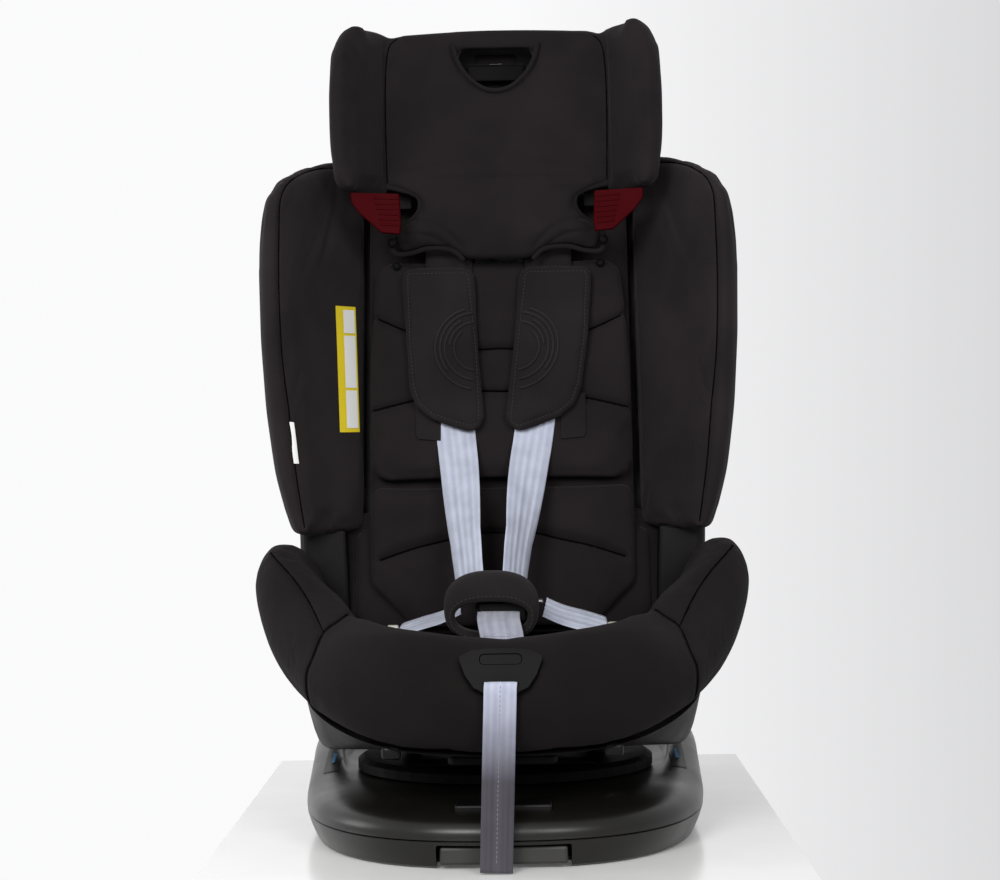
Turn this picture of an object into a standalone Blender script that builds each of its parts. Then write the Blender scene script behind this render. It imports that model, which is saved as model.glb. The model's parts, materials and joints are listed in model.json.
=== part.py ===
"""A convertible child car seat: swivelling, reclining seat on an ISOFIX base.

Metres, +Z up, front towards -Y. The origin is on the table, on the swivel axis.
The backrest leans: its pieces are shaped upright, with Y as the distance in
front of (-) or behind (+) the back cushion's face, and LEAN then tips them.
"""

import math

import bmesh
import bpy
from mathutils import Matrix, Vector

GAP = 0.0003

# Base
BASE_HALF_WIDTH = 0.1795
BASE_FRONT = 0.272
BASE_BACK = 0.262
FRONT_POWER = 2.55
BACK_POWER = 5.0
SEAM_Z = 0.0235
DECK_Z = 0.049
WALL = 0.003

# The cover from its inner middle, down the inside, up the outside and over the raised
# rim to the deck: (grow, z) at the front and at the rear of each ring.
COVER_LEVELS = (
    ((-0.070, 0.0460), (-0.070, 0.0460)),
    ((-0.045, 0.0453), (-0.033, 0.0460)),
    ((-0.036, 0.0444), (-0.0235, 0.0630)),
    ((-0.029, 0.0432), (-0.0115, 0.0680)),
    ((-0.0185, 0.0405), (-0.0045, 0.0650)),
    ((-0.0095, 0.0362), (0.0005, 0.0570)),
    ((-0.0045, 0.0310), (0.0000, 0.0400)),
    ((-0.0030, 0.0245), (-0.0030, 0.0245)),
    ((0.0000, 0.0245), (0.0000, 0.0245)),
    ((-0.0005, 0.0320), (0.0030, 0.0400)),
    ((-0.0055, 0.0390), (0.0035, 0.0580)),
    ((-0.0155, 0.0435), (-0.0010, 0.0675)),
    ((-0.0280, 0.0462), (-0.0100, 0.0715)),
    ((-0.0360, 0.0474), (-0.0200, 0.0660)),
    ((-0.0450, 0.0483), (-0.0300, 0.0490)),
    ((-0.0700, 0.0490), (-0.0700, 0.0490)),
)

# Swivel
TURNTABLE_RADIUS = 0.136
TURNTABLE_BOTTOM = 0.0505
TURNTABLE_TOP = 0.062
HUB_RADIUS = 0.055
FLANGE_RADIUS = 0.066
RACE_RADIUS = 0.110
LOCK_PIN_RADIUS = 0.005

# Recline: the seat turns about a line across it, at this height and depth
RECLINE_Y = 0.02
RECLINE_Z = 0.42
FLOOR_RADIUS = 0.336
SKIRT_RADIUS = 0.349
SLOT_RADIUS = 0.348
ROD_RADIUS = 0.005
ROD_ANGLE = 8.0
CHEEK_X = 0.078
CHEEK_THICKNESS = 0.006

# ISOFIX arms
ARM_X = 0.140
ARM_HALF_WIDTH = 0.012
ARM_LOW = 0.0105
ARM_HIGH = 0.0325
HOUSING_START = 0.2680
HOUSING_END = 0.3280
HOOK_PIVOT = (0.2870, 0.0345)

# Seat bucket
TUB_HALF_WIDTH = 0.180
TUB_POWER = 2.9

# Backrest
BACK_SLOPE = 0.22
BACK_FACE_Y = 0.105
BACK_FACE_Z = 0.18
CUSHION_HALF_WIDTH = 0.131
CUSHION_THICKNESS = 0.030
SHELL_FRONT = 0.0315
SHELL_REAR = 0.0355
BACK_TOP = 0.600
FOOT_HALF_WIDTH = 0.1455
FOOT_TOP = 0.262
NOTCH_HALF_WIDTH = 0.072
NOTCH_BOTTOM = 0.530

# Harness
STRAP_HALF_WIDTH = 0.019
LAP_HALF_WIDTH = 0.016
STRAP_THICKNESS = 0.0016
ADJUSTER_HALF_WIDTH = 0.0133
BEZEL_CENTRE = Vector((0.0, -0.2745, 0.1620))
BEZEL_TILT = math.radians(60.8)

# Pieces that move with the seat and with the headrest
SEAT_PIECES = (
    *("seat_shell", "front_bolster", "side_wing_l", "side_wing_r", "seat_cushion"),
    *("side_trim_l", "side_trim_r", "recline_runner_l", "recline_runner_r"),
    *("front_guide_rod", "rear_guide_rod", "back_wing_l", "back_wing_r", "back_cushion"),
    *("back_shell", "back_cover", "insert_upper", "insert_lower", "harness_yoke"),
    *("shoulder_strap_l", "shoulder_strap_r", "hip_strap_l", "hip_strap_r"),
    *("buckle_tongue_l", "buckle_tongue_r", "buckle_body", "crotch_strap", "crotch_pad"),
    *("adjuster_bezel", "adjuster_strap"),
)
HEADREST_PIECES = (
    *("headrest_wing_l", "headrest_wing_r", "headrest_cushion", "headrest_shell", "headrest_carrier"),
    *("belt_guide_l", "belt_guide_r", "shoulder_pad_l", "shoulder_pad_r"),
)

LEAN = Matrix(
    (
        (1, 0, 0, 0),
        (0, 1, BACK_SLOPE, BACK_FACE_Y - BACK_SLOPE * BACK_FACE_Z),
        (0, 0, 1, 0),
        (0, 0, 0, 1),
    )
)

FINISHES = {
    "base_plastic": ((0.022, 0.022, 0.024), 0.42, 0.0),
    "gloss_plastic": ((0.012, 0.012, 0.013), 0.16, 0.0),
    "shell_plastic": ((0.020, 0.020, 0.021), 0.50, 0.0),
    "grey_plastic": ((0.230, 0.235, 0.240), 0.45, 0.0),
    "red_plastic": ((0.420, 0.010, 0.018), 0.35, 0.0),
    "steel": ((0.560, 0.560, 0.570), 0.32, 1.0),
    "fabric": ((0.018, 0.017, 0.017), 0.92, 0.0),
    "pad_fabric": ((0.024, 0.023, 0.023), 0.90, 0.0),
    "webbing": ((0.400, 0.410, 0.500), 0.70, 0.0),
    "adjuster_webbing": ((0.190, 0.190, 0.240), 0.75, 0.0),
}


# ---------------------------------------------------------------- scene helpers


def clear_scene():
    for obj in list(bpy.data.objects):
        bpy.data.objects.remove(obj, do_unlink=True)


def new_collection(name):
    collection = bpy.data.collections.new(name)
    bpy.context.scene.collection.children.link(collection)
    return collection


def finish_material(node, finish):
    """The node's own Principled material, from the finish it shares."""
    colour, roughness, metallic = FINISHES[finish]
    material = bpy.data.materials.new(f"{node}_{finish}")
    material.use_nodes = True
    shader = material.node_tree.nodes["Principled BSDF"]
    shader.inputs["Base Color"].default_value = (*colour, 1.0)
    shader.inputs["Roughness"].default_value = roughness
    shader.inputs["Metallic"].default_value = metallic
    return material


def add_part(name, mesh, finish, smooth_angle=40.0):
    obj = bpy.data.objects.new(name, mesh)
    PARTS.objects.link(obj)
    mesh.materials.append(finish_material(name, finish))
    mesh.shade_smooth()
    mesh.set_sharp_from_angle(angle=math.radians(smooth_angle))
    return obj


def add_cutter(mesh):
    obj = bpy.data.objects.new(f"cutter_{len(CUTTERS.objects)}", mesh)
    CUTTERS.objects.link(obj)
    obj.hide_render = True
    obj.display_type = "WIRE"
    return obj


def combine(target, other_mesh, operation):
    modifier = target.modifiers.new(operation.lower(), "BOOLEAN")
    modifier.operation = operation
    modifier.solver = "EXACT"
    modifier.object = add_cutter(other_mesh)
    return target


def cut(target, cutter_mesh, transform=None):
    if transform:
        cutter_mesh.transform(transform)
    return combine(target, cutter_mesh, "DIFFERENCE")


def join(target, *meshes):
    for mesh in meshes:
        combine(target, mesh, "UNION")
    return target


def soften(obj, width, segments=2):
    bevel = obj.modifiers.new("edges", "BEVEL")
    bevel.width = width
    bevel.segments = segments
    bevel.limit_method = "ANGLE"
    bevel.angle_limit = math.radians(40)
    return obj


def lean(mesh):
    mesh.transform(LEAN)
    return mesh


def mirrored(mesh):
    """A copy of the mesh on the other side of the X = 0 plane."""
    bm = bmesh.new()
    bm.from_mesh(mesh)
    bmesh.ops.scale(bm, vec=(-1, 1, 1), verts=bm.verts)
    bmesh.ops.reverse_faces(bm, faces=bm.faces)
    return mesh_of(bm)


def mesh_of(bm):
    mesh = bpy.data.meshes.new("shape")
    bm.to_mesh(mesh)
    bm.free()
    return mesh


# ---------------------------------------------------------------- shape helpers


def box_mesh(low, high):
    low, high = Vector(low), Vector(high)
    bm = bmesh.new()
    bmesh.ops.create_cube(bm, size=1.0)
    bmesh.ops.scale(bm, vec=high - low, verts=bm.verts)
    bmesh.ops.translate(bm, vec=(low + high) / 2, verts=bm.verts)
    return mesh_of(bm)


def cylinder_mesh(start, end, radius, sides=16):
    start, end = Vector(start), Vector(end)
    axis = end - start
    bm = bmesh.new()
    bmesh.ops.create_cone(
        bm, cap_ends=True, segments=sides, radius1=radius, radius2=radius, depth=axis.length
    )
    turn = axis.to_track_quat("Z", "Y").to_matrix().to_4x4() @ Matrix.Rotation(math.pi / sides, 4, "Z")
    bmesh.ops.transform(bm, matrix=Matrix.Translation((start + end) / 2) @ turn, verts=bm.verts)
    return mesh_of(bm)


def loft_mesh(rings):
    """A closed solid through rings of equally many points, its ends closed by fans."""
    bm = bmesh.new()
    rows = [[bm.verts.new(point) for point in ring] for ring in rings]
    count = len(rows[0])
    for lower, upper in zip(rows, rows[1:]):
        for k in range(count):
            following = (k + 1) % count
            bm.faces.new((lower[k], lower[following], upper[following], upper[k]))
    for row, order in ((rows[0], -1), (rows[-1], 1)):
        centre = bm.verts.new(sum((v.co for v in row), Vector()) / count)
        ends = row[::order]
        for k in range(count):
            bm.faces.new((ends[k], ends[(k + 1) % count], centre))
    bmesh.ops.recalc_face_normals(bm, faces=bm.faces)
    return mesh_of(bm)


def plate_mesh(outline, thickness, holes=()):
    """A flat plate in XY, centred on Z = 0, from a 2D curve whose other splines are holes."""
    curve = bpy.data.curves.new("outline", "CURVE")
    curve.dimensions = "2D"
    curve.fill_mode = "BOTH"
    curve.extrude = thickness / 2
    for points in (outline, *holes):
        spline = curve.splines.new("POLY")
        spline.points.add(len(points) - 1)
        for point, place in zip(spline.points, points):
            point.co = (place[0], place[1], 0.0, 1.0)
        spline.use_cyclic_u = True
    obj = bpy.data.objects.new("outline", curve)
    PARTS.objects.link(obj)
    graph = bpy.context.evaluated_depsgraph_get()
    mesh = bpy.data.meshes.new_from_object(obj.evaluated_get(graph))
    bpy.data.objects.remove(obj, do_unlink=True)
    bm = bmesh.new()
    bm.from_mesh(mesh)
    bmesh.ops.remove_doubles(bm, verts=bm.verts, dist=1e-5)
    bmesh.ops.recalc_face_normals(bm, faces=bm.faces)
    return mesh_of(bm)


def front_plate_mesh(outline, front, back, holes=()):
    """A plate whose outline is (x, z) points, from Y = front to Y = back."""
    mesh = plate_mesh(outline, back - front, holes)
    mesh.transform(Matrix.Translation((0, (front + back) / 2, 0)) @ Matrix.Rotation(math.pi / 2, 4, "X"))
    return mesh


def side_plate_mesh(outline, x, thickness, holes=()):
    """A plate whose outline is (y, z) points, centred on X = x."""
    mesh = plate_mesh(outline, thickness, holes)
    mesh.transform(
        Matrix.Translation((x, 0, 0))
        @ Matrix.Rotation(math.pi / 2, 4, "Z")
        @ Matrix.Rotation(math.pi / 2, 4, "X")
    )
    return mesh


def turned_part(name, profile, finish, steps=48):
    """A solid turned about the Z axis from a closed (radius, z) profile."""
    bm = bmesh.new()
    points = [bm.verts.new((radius, 0, z)) for radius, z in profile]
    for k, point in enumerate(points):
        bm.edges.new((point, points[(k + 1) % len(points)]))
    obj = add_part(name, mesh_of(bm), finish)
    screw = obj.modifiers.new("turn", "SCREW")
    screw.steps = steps
    screw.render_steps = steps
    screw.use_merge_vertices = True
    screw.merge_threshold = 0.0001
    screw.use_smooth_shade = True
    return obj


def ribbon_mesh(path, across, half_width, thickness):
    """A strap: a flat band along the path, its width along `across`."""
    points = [Vector(point) for point in path]
    rings = []
    for k, point in enumerate(points):
        tangent = (points[min(k + 1, len(points) - 1)] - points[max(k - 1, 0)]).normalized()
        width = (Vector(across) - tangent * tangent.dot(Vector(across))).normalized()
        normal = tangent.cross(width)
        side, face = width * half_width, normal * (thickness / 2)
        rings.append([point - side - face, point + side - face, point + side + face, point - side + face])
    return loft_mesh(rings)


def spline(points, per_span, closed=False):
    """Catmull-Rom through the points, with per_span steps between neighbours."""
    count = len(points)
    places = []
    for span in range(count if closed else count - 1):
        if closed:
            a, b, c, d = (Vector(points[(span + k) % count]) for k in (-1, 0, 1, 2))
        else:
            a, b, c, d = (Vector(points[min(max(span + k, 0), count - 1)]) for k in (-1, 0, 1, 2))
        for step in range(per_span):
            t = step / per_span
            bend = (2 * a - 5 * b + 4 * c - d) * t**2 + (3 * b - a - 3 * c + d) * t**3
            places.append(0.5 * (2 * b + (c - a) * t + bend))
    if not closed:
        places.append(Vector(points[-1]))
    return places


def skin_mesh(key_sections, around, along):
    """A loft through key sections, smoothed both round each section and from one to the next."""
    sections = [spline(section, around, closed=True) for section in key_sections]
    lines = [spline(line, along) for line in zip(*sections)]
    return loft_mesh([list(ring) for ring in zip(*lines)])


def signed_power(value, power):
    return math.copysign(abs(value) ** power, value)


def rounded_rectangle(half_width, half_height, radius, corner_steps=4):
    points = []
    for quarter in range(4):
        cx = (half_width - radius) * (1 if quarter in (0, 3) else -1)
        cy = (half_height - radius) * (1 if quarter in (0, 1) else -1)
        for step in range(corner_steps + 1):
            angle = math.pi / 2 * (quarter + step / corner_steps)
            points.append((cx + radius * math.cos(angle), cy + radius * math.sin(angle)))
    return points


def arc(centre, radius, start, end, steps):
    """Points on an arc, angles in degrees from the second axis pointing down (0) towards +Y."""
    points = []
    for k in range(steps + 1):
        angle = math.radians(start + (end - start) * k / steps)
        points.append((centre[0] + radius * math.sin(angle), centre[1] - radius * math.cos(angle)))
    return points


def shifted(outline, dx, dy):
    return [(x + dx, y + dy) for x, y in outline]


# ---------------------------------------------------------------- base


def base_outline_point(angle, grow):
    c, s = math.cos(angle), math.sin(angle)
    power, depth = (2 / FRONT_POWER, BASE_FRONT) if s < 0 else (2 / BACK_POWER, BASE_BACK)
    return (BASE_HALF_WIDTH + grow) * signed_power(c, power), (depth + grow) * signed_power(s, power)


def base_ring(front_level, rear_level=None, count=48):
    """A ring round the base. Each level is (grow, z), and the front turns into the rear one."""
    rear_level = rear_level or front_level
    ring = []
    for k in range(count):
        angle = math.tau * k / count
        share = min(max((base_outline_point(angle, 0.0)[1] + 0.12) / 0.24, 0.0), 1.0)
        share = share * share * (3 - 2 * share)
        grow, z = (a + (b - a) * share for a, b in zip(front_level, rear_level))
        ring.append((*base_outline_point(angle, grow), z))
    return ring


def arm_tunnels(target):
    """Clearance round both ISOFIX arms, out through the rear wall."""
    for side in (-1, 1):
        low = (side * ARM_X - ARM_HALF_WIDTH - 0.001, 0.175, ARM_LOW - 0.001)
        high = (side * ARM_X + ARM_HALF_WIDTH + 0.001, 0.280, ARM_HIGH + 0.001)
        cut(target, box_mesh(low, high))


def make_base():
    pan = [(-0.0125, 0.0), (-0.0085, 0.002), (-0.0030, 0.014), (0.0, SEAM_Z)]
    pan += [(-WALL, SEAM_Z), (-WALL - 0.003, 0.014), (-WALL - 0.010, WALL)]
    tray = add_part("base_tray", loft_mesh([base_ring(level) for level in pan]), "base_plastic")
    cut(tray, box_mesh((-0.0555, -0.290, -0.010), (0.0555, -0.225, 0.0205)))
    arm_tunnels(tray)

    mesh = loft_mesh([base_ring(*levels) for levels in COVER_LEVELS])
    cover = add_part("base_cover", mesh, "base_plastic")
    cut(cover, cylinder_mesh((0, 0, 0.030), (0, 0, 0.060), HUB_RADIUS + 0.003, 40))
    cut(cover, box_mesh((-0.0406, -0.2486, 0.030), (0.0406, -0.2024, 0.060)))
    cut(cover, cylinder_mesh((0, -RACE_RADIUS, 0.030), (0, -RACE_RADIUS, 0.060), LOCK_PIN_RADIUS + 0.0006))
    arm_tunnels(cover)

    guide = add_part(
        "isofix_guide", box_mesh((-0.1545, 0.138, WALL + GAP), (0.1545, 0.154, 0.0352)), "shell_plastic"
    )
    for side in (-1, 1):
        low = (side * ARM_X - ARM_HALF_WIDTH - 0.0006, 0.130, ARM_LOW - 0.0006)
        high = (side * ARM_X + ARM_HALF_WIDTH + 0.0006, 0.165, ARM_HIGH + 0.0006)
        cut(guide, box_mesh(low, high))


def make_base_controls():
    button = add_part(
        "rotation_button", box_mesh((-0.0400, -0.2480, 0.0400), (0.0400, -0.2030, 0.0500)), "gloss_plastic"
    )
    soften(button, 0.002)
    low = (0, -RACE_RADIUS, 0.024)
    high = (0, -RACE_RADIUS, 0.0545)
    add_part("rotation_lock_pin", cylinder_mesh(low, high, LOCK_PIN_RADIUS), "steel")
    handle = add_part(
        "isofix_release_handle",
        box_mesh((-0.0525, -0.2640, 0.0035), (0.0525, -0.2300, 0.0185)),
        "grey_plastic",
    )
    soften(handle, 0.0025)


# ---------------------------------------------------------------- ISOFIX arms


def make_isofix():
    """One welded frame, two arms and their crossbar, with a connector on each arm."""
    arms = []
    for side, tag in ((-1, "l"), (1, "r")):
        x = side * ARM_X
        low = (x - ARM_HALF_WIDTH, -0.020, ARM_LOW)
        arms.append(box_mesh(low, (x + ARM_HALF_WIDTH, HOUSING_START - GAP, ARM_HIGH)))
        make_connector(x, tag)
    bar = box_mesh((-ARM_X, -0.018, 0.0080), (ARM_X, 0.002, 0.0200))
    join(add_part("isofix_frame", bar, "steel"), *arms)


def make_connector(x, tag):
    """Connector head: a jaw for a 6 mm anchor bar, a hook in a middle slot and its slider."""
    head = box_mesh((x - 0.017, HOUSING_START, 0.0060), (x + 0.017, HOUSING_END, 0.0420))
    housing = soften(add_part(f"isofix_housing_{tag}", head, "base_plastic"), 0.003)
    cut(housing, box_mesh((x - 0.030, HOUSING_END - 0.027, 0.0170), (x + 0.030, HOUSING_END + 0.010, 0.0290)))
    slot = (x - 0.0036, HOUSING_START + 0.009, 0.0120)
    cut(housing, box_mesh(slot, (x + 0.0036, HOUSING_END - 0.007, 0.0500)))
    y, z = HOOK_PIVOT
    outline = [(y - 0.005, z - 0.004), (y + 0.016, z - 0.003), (y + 0.028, z - 0.006)]
    outline += [(y + 0.031, z + 0.001), (y + 0.024, z + 0.006), (y - 0.005, z + 0.005)]
    add_part(f"isofix_hook_{tag}", side_plate_mesh(outline, x, 0.006), "steel")
    slider = box_mesh((x - 0.010, HOUSING_START + 0.0030, 0.0423), (x + 0.010, HOUSING_START + 0.0085, 0.0490))
    add_part(f"isofix_slider_{tag}", slider, "grey_plastic")


# ---------------------------------------------------------------- turntable and recline


def make_turntable():
    groove = LOCK_PIN_RADIUS + 0.001
    profile = [(0.040, TURNTABLE_TOP), (TURNTABLE_RADIUS - 0.005, TURNTABLE_TOP), (TURNTABLE_RADIUS, 0.0585)]
    profile += [(TURNTABLE_RADIUS, TURNTABLE_BOTTOM), (RACE_RADIUS + groove, TURNTABLE_BOTTOM)]
    profile += [(RACE_RADIUS + groove, 0.0560), (RACE_RADIUS - groove, 0.0560)]
    profile += [(RACE_RADIUS - groove, TURNTABLE_BOTTOM), (HUB_RADIUS, TURNTABLE_BOTTOM)]
    profile += [(HUB_RADIUS, 0.0290), (FLANGE_RADIUS, 0.0290), (FLANGE_RADIUS, 0.0240), (0.040, 0.0240)]
    turned_part("turntable", profile, "shell_plastic")
    ring = [(HUB_RADIUS + 0.0005, 0.0455), (0.074, 0.0455), (0.074, 0.0300), (HUB_RADIUS + 0.0005, 0.0300)]
    turned_part("turntable_bearing", ring, "steel")


def make_recline():
    """Two cheeks with arc slots on the turntable, and the rods and runners that ride in them."""
    centre = (RECLINE_Y, RECLINE_Z)
    clearance = ROD_RADIUS + 0.0004
    front, rear = -24.0, 9.0
    slot = arc(centre, SLOT_RADIUS - clearance, front, rear, 10)
    slot += arc(centre, SLOT_RADIUS + clearance, rear, front, 10)
    top = arc(centre, FLOOR_RADIUS + 0.0025, -26.5, 11.0, 12)
    foot = TURNTABLE_TOP + GAP
    heel, toe = 0.080, -0.098
    outline = top + [(heel, foot + 0.0010), (toe, foot + 0.0010), (top[0][0], 0.0900)]
    cheeks = [side_plate_mesh(outline, side * CHEEK_X, CHEEK_THICKNESS, [slot]) for side in (-1, 1)]
    reach = CHEEK_X + CHEEK_THICKNESS / 2 + 0.0005
    base = box_mesh((-reach, toe - 0.001, foot), (reach, heel + 0.001, foot + 0.0025))
    join(add_part("recline_bracket", base, "steel"), *cheeks)
    for side, tag in ((-1, "l"), (1, "r")):
        runner = arc(centre, FLOOR_RADIUS + GAP, -12.0, 12.0, 8)
        runner += arc(centre, 0.3555, 12.0, -12.0, 8)
        holes = []
        for angle in (-ROD_ANGLE, ROD_ANGLE):
            hub = arc(centre, SLOT_RADIUS, angle, angle, 1)[0]
            turn = [math.tau * k / 16 for k in range(16)]
            bore = ROD_RADIUS + GAP
            holes.append([(hub[0] + bore * math.cos(a), hub[1] + bore * math.sin(a)) for a in turn])
        add_part(
            f"recline_runner_{tag}",
            side_plate_mesh(runner, side * (CHEEK_X + 0.0105), 0.010, holes),
            "shell_plastic",
        )
    for angle, name in ((-ROD_ANGLE, "front_guide_rod"), (ROD_ANGLE, "rear_guide_rod")):
        y, z = arc(centre, SLOT_RADIUS, angle, angle, 1)[0]
        add_part(name, cylinder_mesh((-0.093, y, z), (0.093, y, z), ROD_RADIUS), "steel")
    right = [(0.042, -0.236), (0.046, -0.228), (0.030, -0.172)]
    lever = plate_mesh(right + [(-x, y) for x, y in right[::-1]], 0.008)
    lever.transform(Matrix.Translation((0, 0, 0.0850)))
    soften(add_part("recline_lever", lever, "gloss_plastic"), 0.002)


# ---------------------------------------------------------------- seat bucket


def tub_ring(half_width, front, back, side_z, front_z, back_z, power=TUB_POWER, radius=None, count=40):
    """A ring of the bucket. With a radius its height follows a cylinder about the recline axis."""
    ring = []
    for k in range(count):
        angle = math.tau * k / count
        c, s = math.cos(angle), math.sin(angle)
        reach = front if s < 0 else back
        x = half_width * signed_power(c, 2 / power)
        y = reach * signed_power(s, 2 / power)
        if radius:
            z = RECLINE_Z - math.sqrt(radius**2 - y**2)
        else:
            z = side_z + ((front_z if s < 0 else back_z) - side_z) * s * s
        if s > 0:
            z = max(z, RECLINE_Z - math.sqrt(SKIRT_RADIUS**2 - y**2))
        ring.append((x, RECLINE_Y + y, z))
    return ring


def tub_levels(inset):
    """The bucket's surface from the middle of its floor to its rim, moved in by `inset`."""
    floor = [
        tub_ring(share * 0.104, share * 0.158, share * 0.150, 0, 0, 0, 6.0, FLOOR_RADIUS - inset)
        for share in (0.3, 0.5, 0.7, 0.85, 1.0)
    ]
    walls = [
        (0.122, 0.186, 0.160, 0.0735, 0.1140, 0.1290, 4.0),
        (0.156, 0.222, 0.172, 0.0760, 0.1010, 0.1480, 3.2),
        (0.170, 0.256, 0.180, 0.0860, 0.0945, 0.1750, TUB_POWER),
        (TUB_HALF_WIDTH, 0.277, 0.186, 0.1280, 0.0912, 0.2000, TUB_POWER),
    ]
    lift = (inset, inset, 0.6 * inset, 0.0)
    for (half, front, back, side_z, front_z, back_z, power), up in zip(walls, lift):
        step = inset if up < inset else 0.3 * inset
        heights = (side_z + up, front_z + up, back_z + up)
        floor.append(tub_ring(half - step, front - step, back - step, *heights, power))
    return floor


def make_bucket():
    outer = tub_levels(0.0)
    inner = tub_levels(WALL)
    add_part("seat_shell", loft_mesh(outer + inner[::-1]), "shell_plastic")


def bolster_keys():
    """Half of the front bolster, from the middle to the seam with the side wing."""
    middle = [(0, -0.262, 0.0925), (0, -0.283, 0.130), (0, -0.279, 0.158), (0, -0.250, 0.183)]
    middle += [(0, -0.215, 0.179), (0, -0.194, 0.155), (0, -0.196, 0.128), (0, -0.228, 0.1040)]
    half = [(0.080, -0.253, 0.0975), (0.083, -0.274, 0.132), (0.083, -0.269, 0.164)]
    half += [(0.080, -0.240, 0.192), (0.077, -0.204, 0.187), (0.075, -0.186, 0.160)]
    half += [(0.076, -0.190, 0.132), (0.078, -0.218, 0.1070)]
    three = [(0.126, -0.229, 0.1090), (0.134, -0.243, 0.137), (0.131, -0.240, 0.166)]
    three += [(0.121, -0.216, 0.190), (0.106, -0.178, 0.198), (0.104, -0.167, 0.172)]
    three += [(0.108, -0.172, 0.142), (0.118, -0.196, 0.1150)]
    seam = [(0.1600, -0.1880, 0.1235), (0.1670, -0.1980, 0.143), (0.1640, -0.1960, 0.166)]
    seam += [(0.1490, -0.1840, 0.184), (0.1250, -0.1550, 0.202), (0.1230, -0.1500, 0.178)]
    seam += [(0.1280, -0.1540, 0.148), (0.1450, -0.1720, 0.127)]
    return [middle, half, three, seam]


def make_front_bolster():
    keys = bolster_keys()
    left = [[(-x, y, z) for x, y, z in section] for section in keys[:0:-1]]
    bolster = add_part("front_bolster", skin_mesh(left + keys, 2, 3), "fabric", 60)
    pocket = plate_mesh(bezel_outline(0.0008), 0.034)
    cut(bolster, pocket, bezel_frame() @ Matrix.Translation((0, 0, 0.0080)))


def side_wing_keys():
    """The right side wing, from just behind the bolster's seam to its rear end."""
    seam = [(0.1612, -0.1850, 0.1240), (0.1682, -0.1950, 0.1435), (0.1652, -0.1930, 0.1665)]
    seam += [(0.1502, -0.1810, 0.1845), (0.1262, -0.1520, 0.2025), (0.1242, -0.1470, 0.1785)]
    seam += [(0.1292, -0.1510, 0.1485), (0.1462, -0.1690, 0.1275)]
    front = [(0.177, -0.110, 0.131), (0.198, -0.115, 0.160), (0.201, -0.112, 0.190)]
    front += [(0.180, -0.102, 0.215), (0.149, -0.086, 0.221), (0.140, -0.080, 0.196)]
    front += [(0.144, -0.085, 0.160), (0.160, -0.100, 0.1345)]
    middle = [(0.183, -0.030, 0.137), (0.213, -0.032, 0.180), (0.2255, -0.030, 0.222)]
    middle += [(0.211, -0.026, 0.253), (0.181, -0.020, 0.247), (0.163, -0.020, 0.210)]
    middle += [(0.159, -0.025, 0.168), (0.170, -0.030, 0.1405)]
    rear = [(0.184, 0.050, 0.146), (0.209, 0.050, 0.185), (0.2225, 0.050, 0.226), (0.209, 0.050, 0.255)]
    rear += [(0.184, 0.050, 0.250), (0.166, 0.050, 0.213), (0.163, 0.048, 0.172), (0.172, 0.048, 0.1490)]
    end = [(0.182, 0.086, 0.154), (0.201, 0.090, 0.187), (0.212, 0.092, 0.222), (0.202, 0.092, 0.243)]
    end += [(0.183, 0.092, 0.240), (0.170, 0.092, 0.210), (0.166, 0.089, 0.178), (0.173, 0.086, 0.1570)]
    return [seam, front, middle, rear, end]


def make_side_wings():
    mesh = skin_mesh(side_wing_keys(), 2, 3)
    add_part("side_wing_r", mesh, "fabric", 60)
    add_part("side_wing_l", mirrored(mesh), "fabric", 60)


def make_seat_cushion():
    floor = FLOOR_RADIUS - WALL - 0.004
    rings = [
        tub_ring(0.060, 0.100, 0.045, 0, 0, 0, TUB_POWER, floor),
        tub_ring(0.098, 0.150, 0.072, 0, 0, 0, TUB_POWER, floor),
        tub_ring(0.136, 0.196, 0.076, 0.127, 0.141, 0.125),
        tub_ring(0.140, 0.198, 0.076, 0.138, 0.152, 0.137),
        tub_ring(0.128, 0.186, 0.066, 0.149, 0.161, 0.145),
        tub_ring(0.060, 0.110, 0.036, 0.153, 0.160, 0.149),
    ]
    cushion = add_part("seat_cushion", loft_mesh(rings), "fabric", 60)
    cut(cushion, box_mesh((-0.022, -0.127, 0.120), (0.022, -0.121, 0.180)))


def make_side_trims():
    low = [(0.148, 0.100, 0.160), (0.180, 0.098, 0.160), (0.186, 0.104, 0.160), (0.184, 0.165, 0.160)]
    low += [(0.176, 0.172, 0.160), (0.148, 0.172, 0.160)]
    middle = [(0.150, 0.100, 0.215), (0.190, 0.098, 0.215), (0.196, 0.104, 0.215), (0.193, 0.166, 0.215)]
    middle += [(0.184, 0.174, 0.215), (0.150, 0.174, 0.215)]
    high = [(0.152, 0.100, 0.2650), (0.190, 0.098, 0.2650), (0.197, 0.104, 0.2650), (0.195, 0.158, 0.2650)]
    high += [(0.186, 0.166, 0.2650), (0.152, 0.166, 0.2650)]
    mesh = loft_mesh([low, middle, high])
    for side, tag in ((1, "r"), (-1, "l")):
        trim = add_part(f"side_trim_{tag}", mesh if side > 0 else mirrored(mesh), "gloss_plastic")
        soften(trim, 0.003)


# ---------------------------------------------------------------- backrest


WING_HALF_WIDTHS = (
    (0.2668, 0.200),
    (0.285, 0.207),
    (0.320, 0.2155),
    (0.380, 0.2225),
    (0.450, 0.2265),
    (0.520, 0.2275),
    (0.560, 0.2262),
    (0.584, 0.2220),
    (0.604, 0.2135),
    (0.620, 0.200),
    (0.630, 0.182),
    (0.6345, 0.162),
)


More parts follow.
